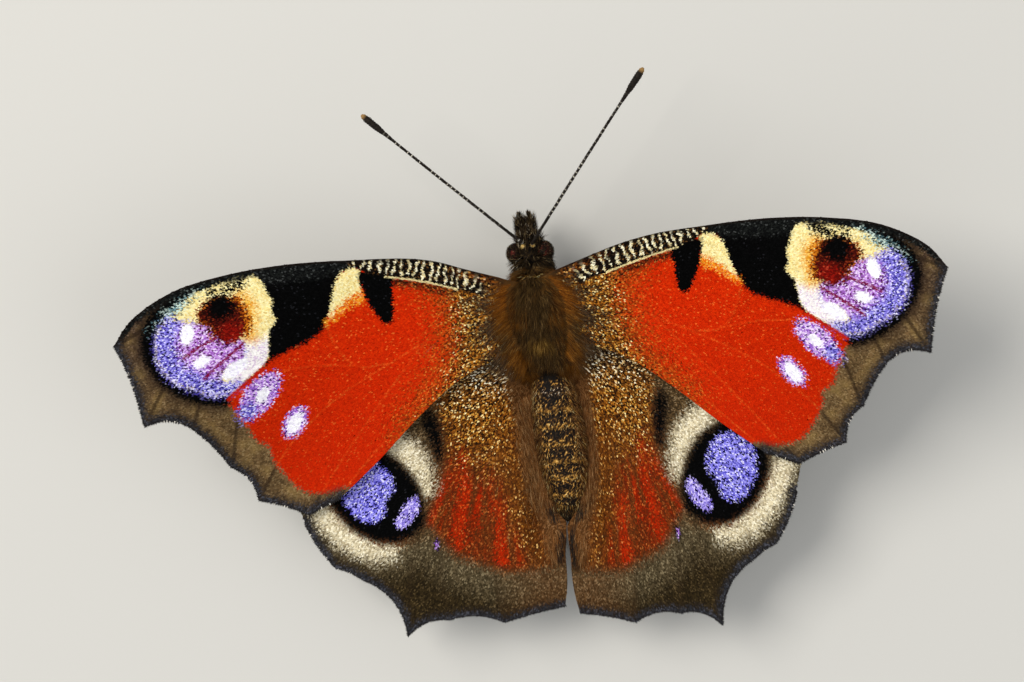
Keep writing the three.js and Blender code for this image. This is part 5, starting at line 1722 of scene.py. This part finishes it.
for kind, leg in LEGS.items():
    for side_name, side in SIDES.items():
        o = float(spine_x(leg["hip"][1]))
        heel = between(leg["shin"], leg["toe"], 0.3)
        inner = (leg["hip"][0] * 0.6, leg["hip"][1], leg["hip"][2] + 1.4)
        points = [inner, leg["hip"], between(leg["hip"], leg["knee"], 0.5), leg["knee"],
                  between(leg["knee"], leg["shin"], 0.5), leg["shin"], (heel[0], heel[1], FOOT_Z),
                  (*between(heel, leg["toe"], 0.5)[:2], FOOT_Z), (*leg["toe"][:2], FOOT_Z)]
        points = [(o + side * x, y, z) for x, y, z in points]
        radii = along(np.array(LEG_RADII), np.linspace(0, 1, LEG_RINGS))
        toes = np.linspace(0, 1, LEG_RINGS)
        radii = radii * (1 + 0.18 * (toes > 0.76) * np.cos(2 * math.pi * (toes - 0.76) / 0.048) ** 6)
        make_leg(f"{kind}_{side_name}", points, np.minimum(radii, np.where(toes > 0.8, FOOT_Z, 1)))
for side_name, side in SIDES.items():
    o = float(spine_x(3))
    points = [(o + side * x, y, z) for x, y, z in FORELEG]
    radii = along(np.array([(0.0, 0.26), (0.4, 0.24), (0.8, 0.18), (1.0, 0.08)]), np.linspace(0, 1, 61))
    make_leg(f"foreleg_{side_name}", points, radii)

# %% [markdown]
# ## Long hairs on the wing roots
# Long silky hairs spread from the thorax over the roots of all four wings and down the strip of each hindwing
# beside the abdomen, and hide the joint between wing and body.


# %% Making the root hairs
FOREWING_HAIRS, HINDWING_HAIRS, GUTTER_HAIRS = 4300, 1700, 7900
WING_HAIR_RADIUS = 0.015


def like_flank(roots, side):
    """Places on the thorax flank beside a wing's hairs, which have its colour."""
    y = np.clip(roots[:, 1], -3.6, 3.2)
    x = spine_x(y) + side * 0.82 * THORAX_HALF_WIDTH * along(THORAX_SHAPE, y)
    return np.stack((x, y, np.full(len(y), 6.5)), -1)


def wing_hairs(wing, part, uv, heading, length, lift, own):
    """Hairs that stand on a wing's upper face and lie along a heading given on the flat wing."""
    step = 0.05
    roots = on_wing(wing, uv)
    lie = on_wing(wing, uv + heading * step) - roots
    aside = on_wing(wing, uv + np.stack((-heading[:, 1], heading[:, 0]), -1) * step) - roots
    normals = unit(np.cross(lie, aside))
    normals *= np.sign(normals[:, 2])[:, None]
    name, side = f"{wing}_{part}", SIDES[wing.split("_")[1]]
    hairs = grow(name, roots, normals, lie, length, WING_HAIR_RADIUS, lift, sink=0.05, droop=0.1)
    note_body(hairs, like_flank(roots, side), HAIR_POINTS, own)
    bake_spots(hairs, wing_place(uv), HAIR_SPOT)
    finish_piece(hairs, name, [BODY_MATERIAL], round_off=False)


for side_name in SIDES:
    u = 1.75 + rng.exponential(0.72, FOREWING_HAIRS)
    v = mix(-2.6, 3.1 + 0.45 * np.maximum(0, u - 2.5), rng.random(FOREWING_HAIRS))
    heading = unit(np.stack((np.ones(len(u)), -0.45 - 0.12 * (2.5 - v) + rng.normal(0, 0.2, len(u))), -1))
    wing_hairs(f"forewing_{side_name}", "root_hairs", np.stack((u, v), -1), heading,
               rng.uniform(0.8, 1.7, len(u)), rng.uniform(0.08, 0.35, len(u)),
               np.where(rng.random(len(u)) < smooth((u - 1.9) / 1.0), WING_ROOT, BODY))
    v = rng.uniform(-4.0, -0.9, HINDWING_HAIRS)
    u = 2.3 + rng.exponential(0.5, HINDWING_HAIRS)
    heading = unit(np.stack((np.full(len(u), 0.7), -1 + rng.normal(0, 0.2, len(u))), -1))
    wing_hairs(f"hindwing_{side_name}", "root_hairs", np.stack((u, v), -1), heading,
               rng.uniform(0.7, 1.3, len(u)), rng.uniform(0.05, 0.25, len(u)),
               np.where(rng.random(len(u)) < smooth((u - 2.1) / 1.0), WING_ROOT, BODY))
    v = -3.2 - 14.0 * rng.random(GUTTER_HAIRS) ** 1.25
    browned = np.where(rng.random(GUTTER_HAIRS) < smooth((-v - 3.2) / 2.0), GUTTER_HAIR, BODY)
    u = tucked_edge(v) + 0.1 + rng.gamma(1.9, 0.48, GUTTER_HAIRS)
    heading = unit(np.stack((-0.12 + rng.normal(0, 0.13, len(u)), -np.ones(len(u))), -1))
    dusky_share = 0.85 * smooth((-v - 12.6) / 1.2) * smooth((tucked_edge(v) + 0.9 - u) / 0.5)
    wing_hairs(f"hindwing_{side_name}", "gutter_hairs", np.stack((u, v), -1), heading,
               rng.uniform(0.7, 1.3, len(u)), rng.uniform(0.04, 0.22, len(u)),
               np.where(rng.random(len(u)) < dusky_share, DUSKY, browned))

# %% [markdown]
# ## Floor, light and camera
# The photograph looks down on the butterfly from nearly straight above with a long lens, turned a few
# degrees. The camera repeats that view. The floor is plain and pale, and a large soft light from the upper
# left with a weaker one from the other side give the scales some relief without hard shadows.

# %% Stage
FLOOR_SIZE = 1.2
LENS, SENSOR = 100.0, 36.0
IMAGE_SIZE = (1024, 682)
OPTICAL_CENTRE = (541, 320)
CAMERA_DISTANCE = 204.6
AIM = (0.0, 0.0, 7.2)
NEAREST_SEEN = 0.005
SKY_TINT, SKY_STRENGTH = (0.93, 0.96, 1.0, 1.0), 0.55
VIEW_SPIN, VIEW_NOD, VIEW_LEAN = math.radians(5.45), math.radians(3.91), math.radians(-8.19)

bpy.ops.object.select_all(action="DESELECT")
bpy.ops.mesh.primitive_plane_add(size=FLOOR_SIZE)
floor = bpy.context.object
floor.name = "floor"
floor_recipe = Recipe("pale_floor", roughness=0.9, specular=0.1)
floor.data.materials.append(floor_recipe.colour(srgb(206, 203, 196)))

world = bpy.data.worlds.new("soft_sky")
world.use_nodes = True
sky = world.node_tree.nodes["Background"]
sky.inputs["Color"].default_value = SKY_TINT
sky.inputs["Strength"].default_value = SKY_STRENGTH
bpy.context.scene.world = world
bpy.context.scene.view_settings.view_transform = "Standard"


def soft_light(name, place, size, watts, tint):
    """A square lamp that faces the model."""
    bpy.ops.object.light_add(type="AREA", location=place)
    light = bpy.context.object
    light.name = name
    light.data.size = size
    light.data.energy = watts
    light.data.color = tint
    light.rotation_euler = (-Vector(place)).to_track_quat("-Z", "Y").to_euler()


soft_light("key_light", (-0.16, 0.14, 0.34), 0.22, 1.15, (1.0, 0.98, 0.94))
soft_light("fill_light", (0.26, -0.1, 0.3), 0.3, 0.35, (0.94, 0.97, 1.0))

view = (Matrix.Rotation(VIEW_SPIN, 3, "Z") @ Matrix.Rotation(VIEW_NOD, 3, "X")
        @ Matrix.Rotation(VIEW_LEAN, 3, "Y")).transposed()
target = Vector((np.array(AIM) + SHIFT) * MM)
camera_data = bpy.data.cameras.new("camera")
camera_data.lens, camera_data.sensor_width = LENS, SENSOR
camera_data.clip_start = NEAREST_SEEN
camera_data.shift_x = (IMAGE_SIZE[0] / 2 - OPTICAL_CENTRE[0]) / IMAGE_SIZE[0]
camera_data.shift_y = (OPTICAL_CENTRE[1] - IMAGE_SIZE[1] / 2) / IMAGE_SIZE[0]
camera = bpy.data.objects.new("camera", camera_data)
bpy.context.scene.collection.objects.link(camera)
camera.matrix_world = Matrix.Translation(target + view @ Vector((0, 0, CAMERA_DISTANCE * MM))) @ view.to_4x4()
bpy.context.scene.camera = camera
bpy.context.view_layer.update()
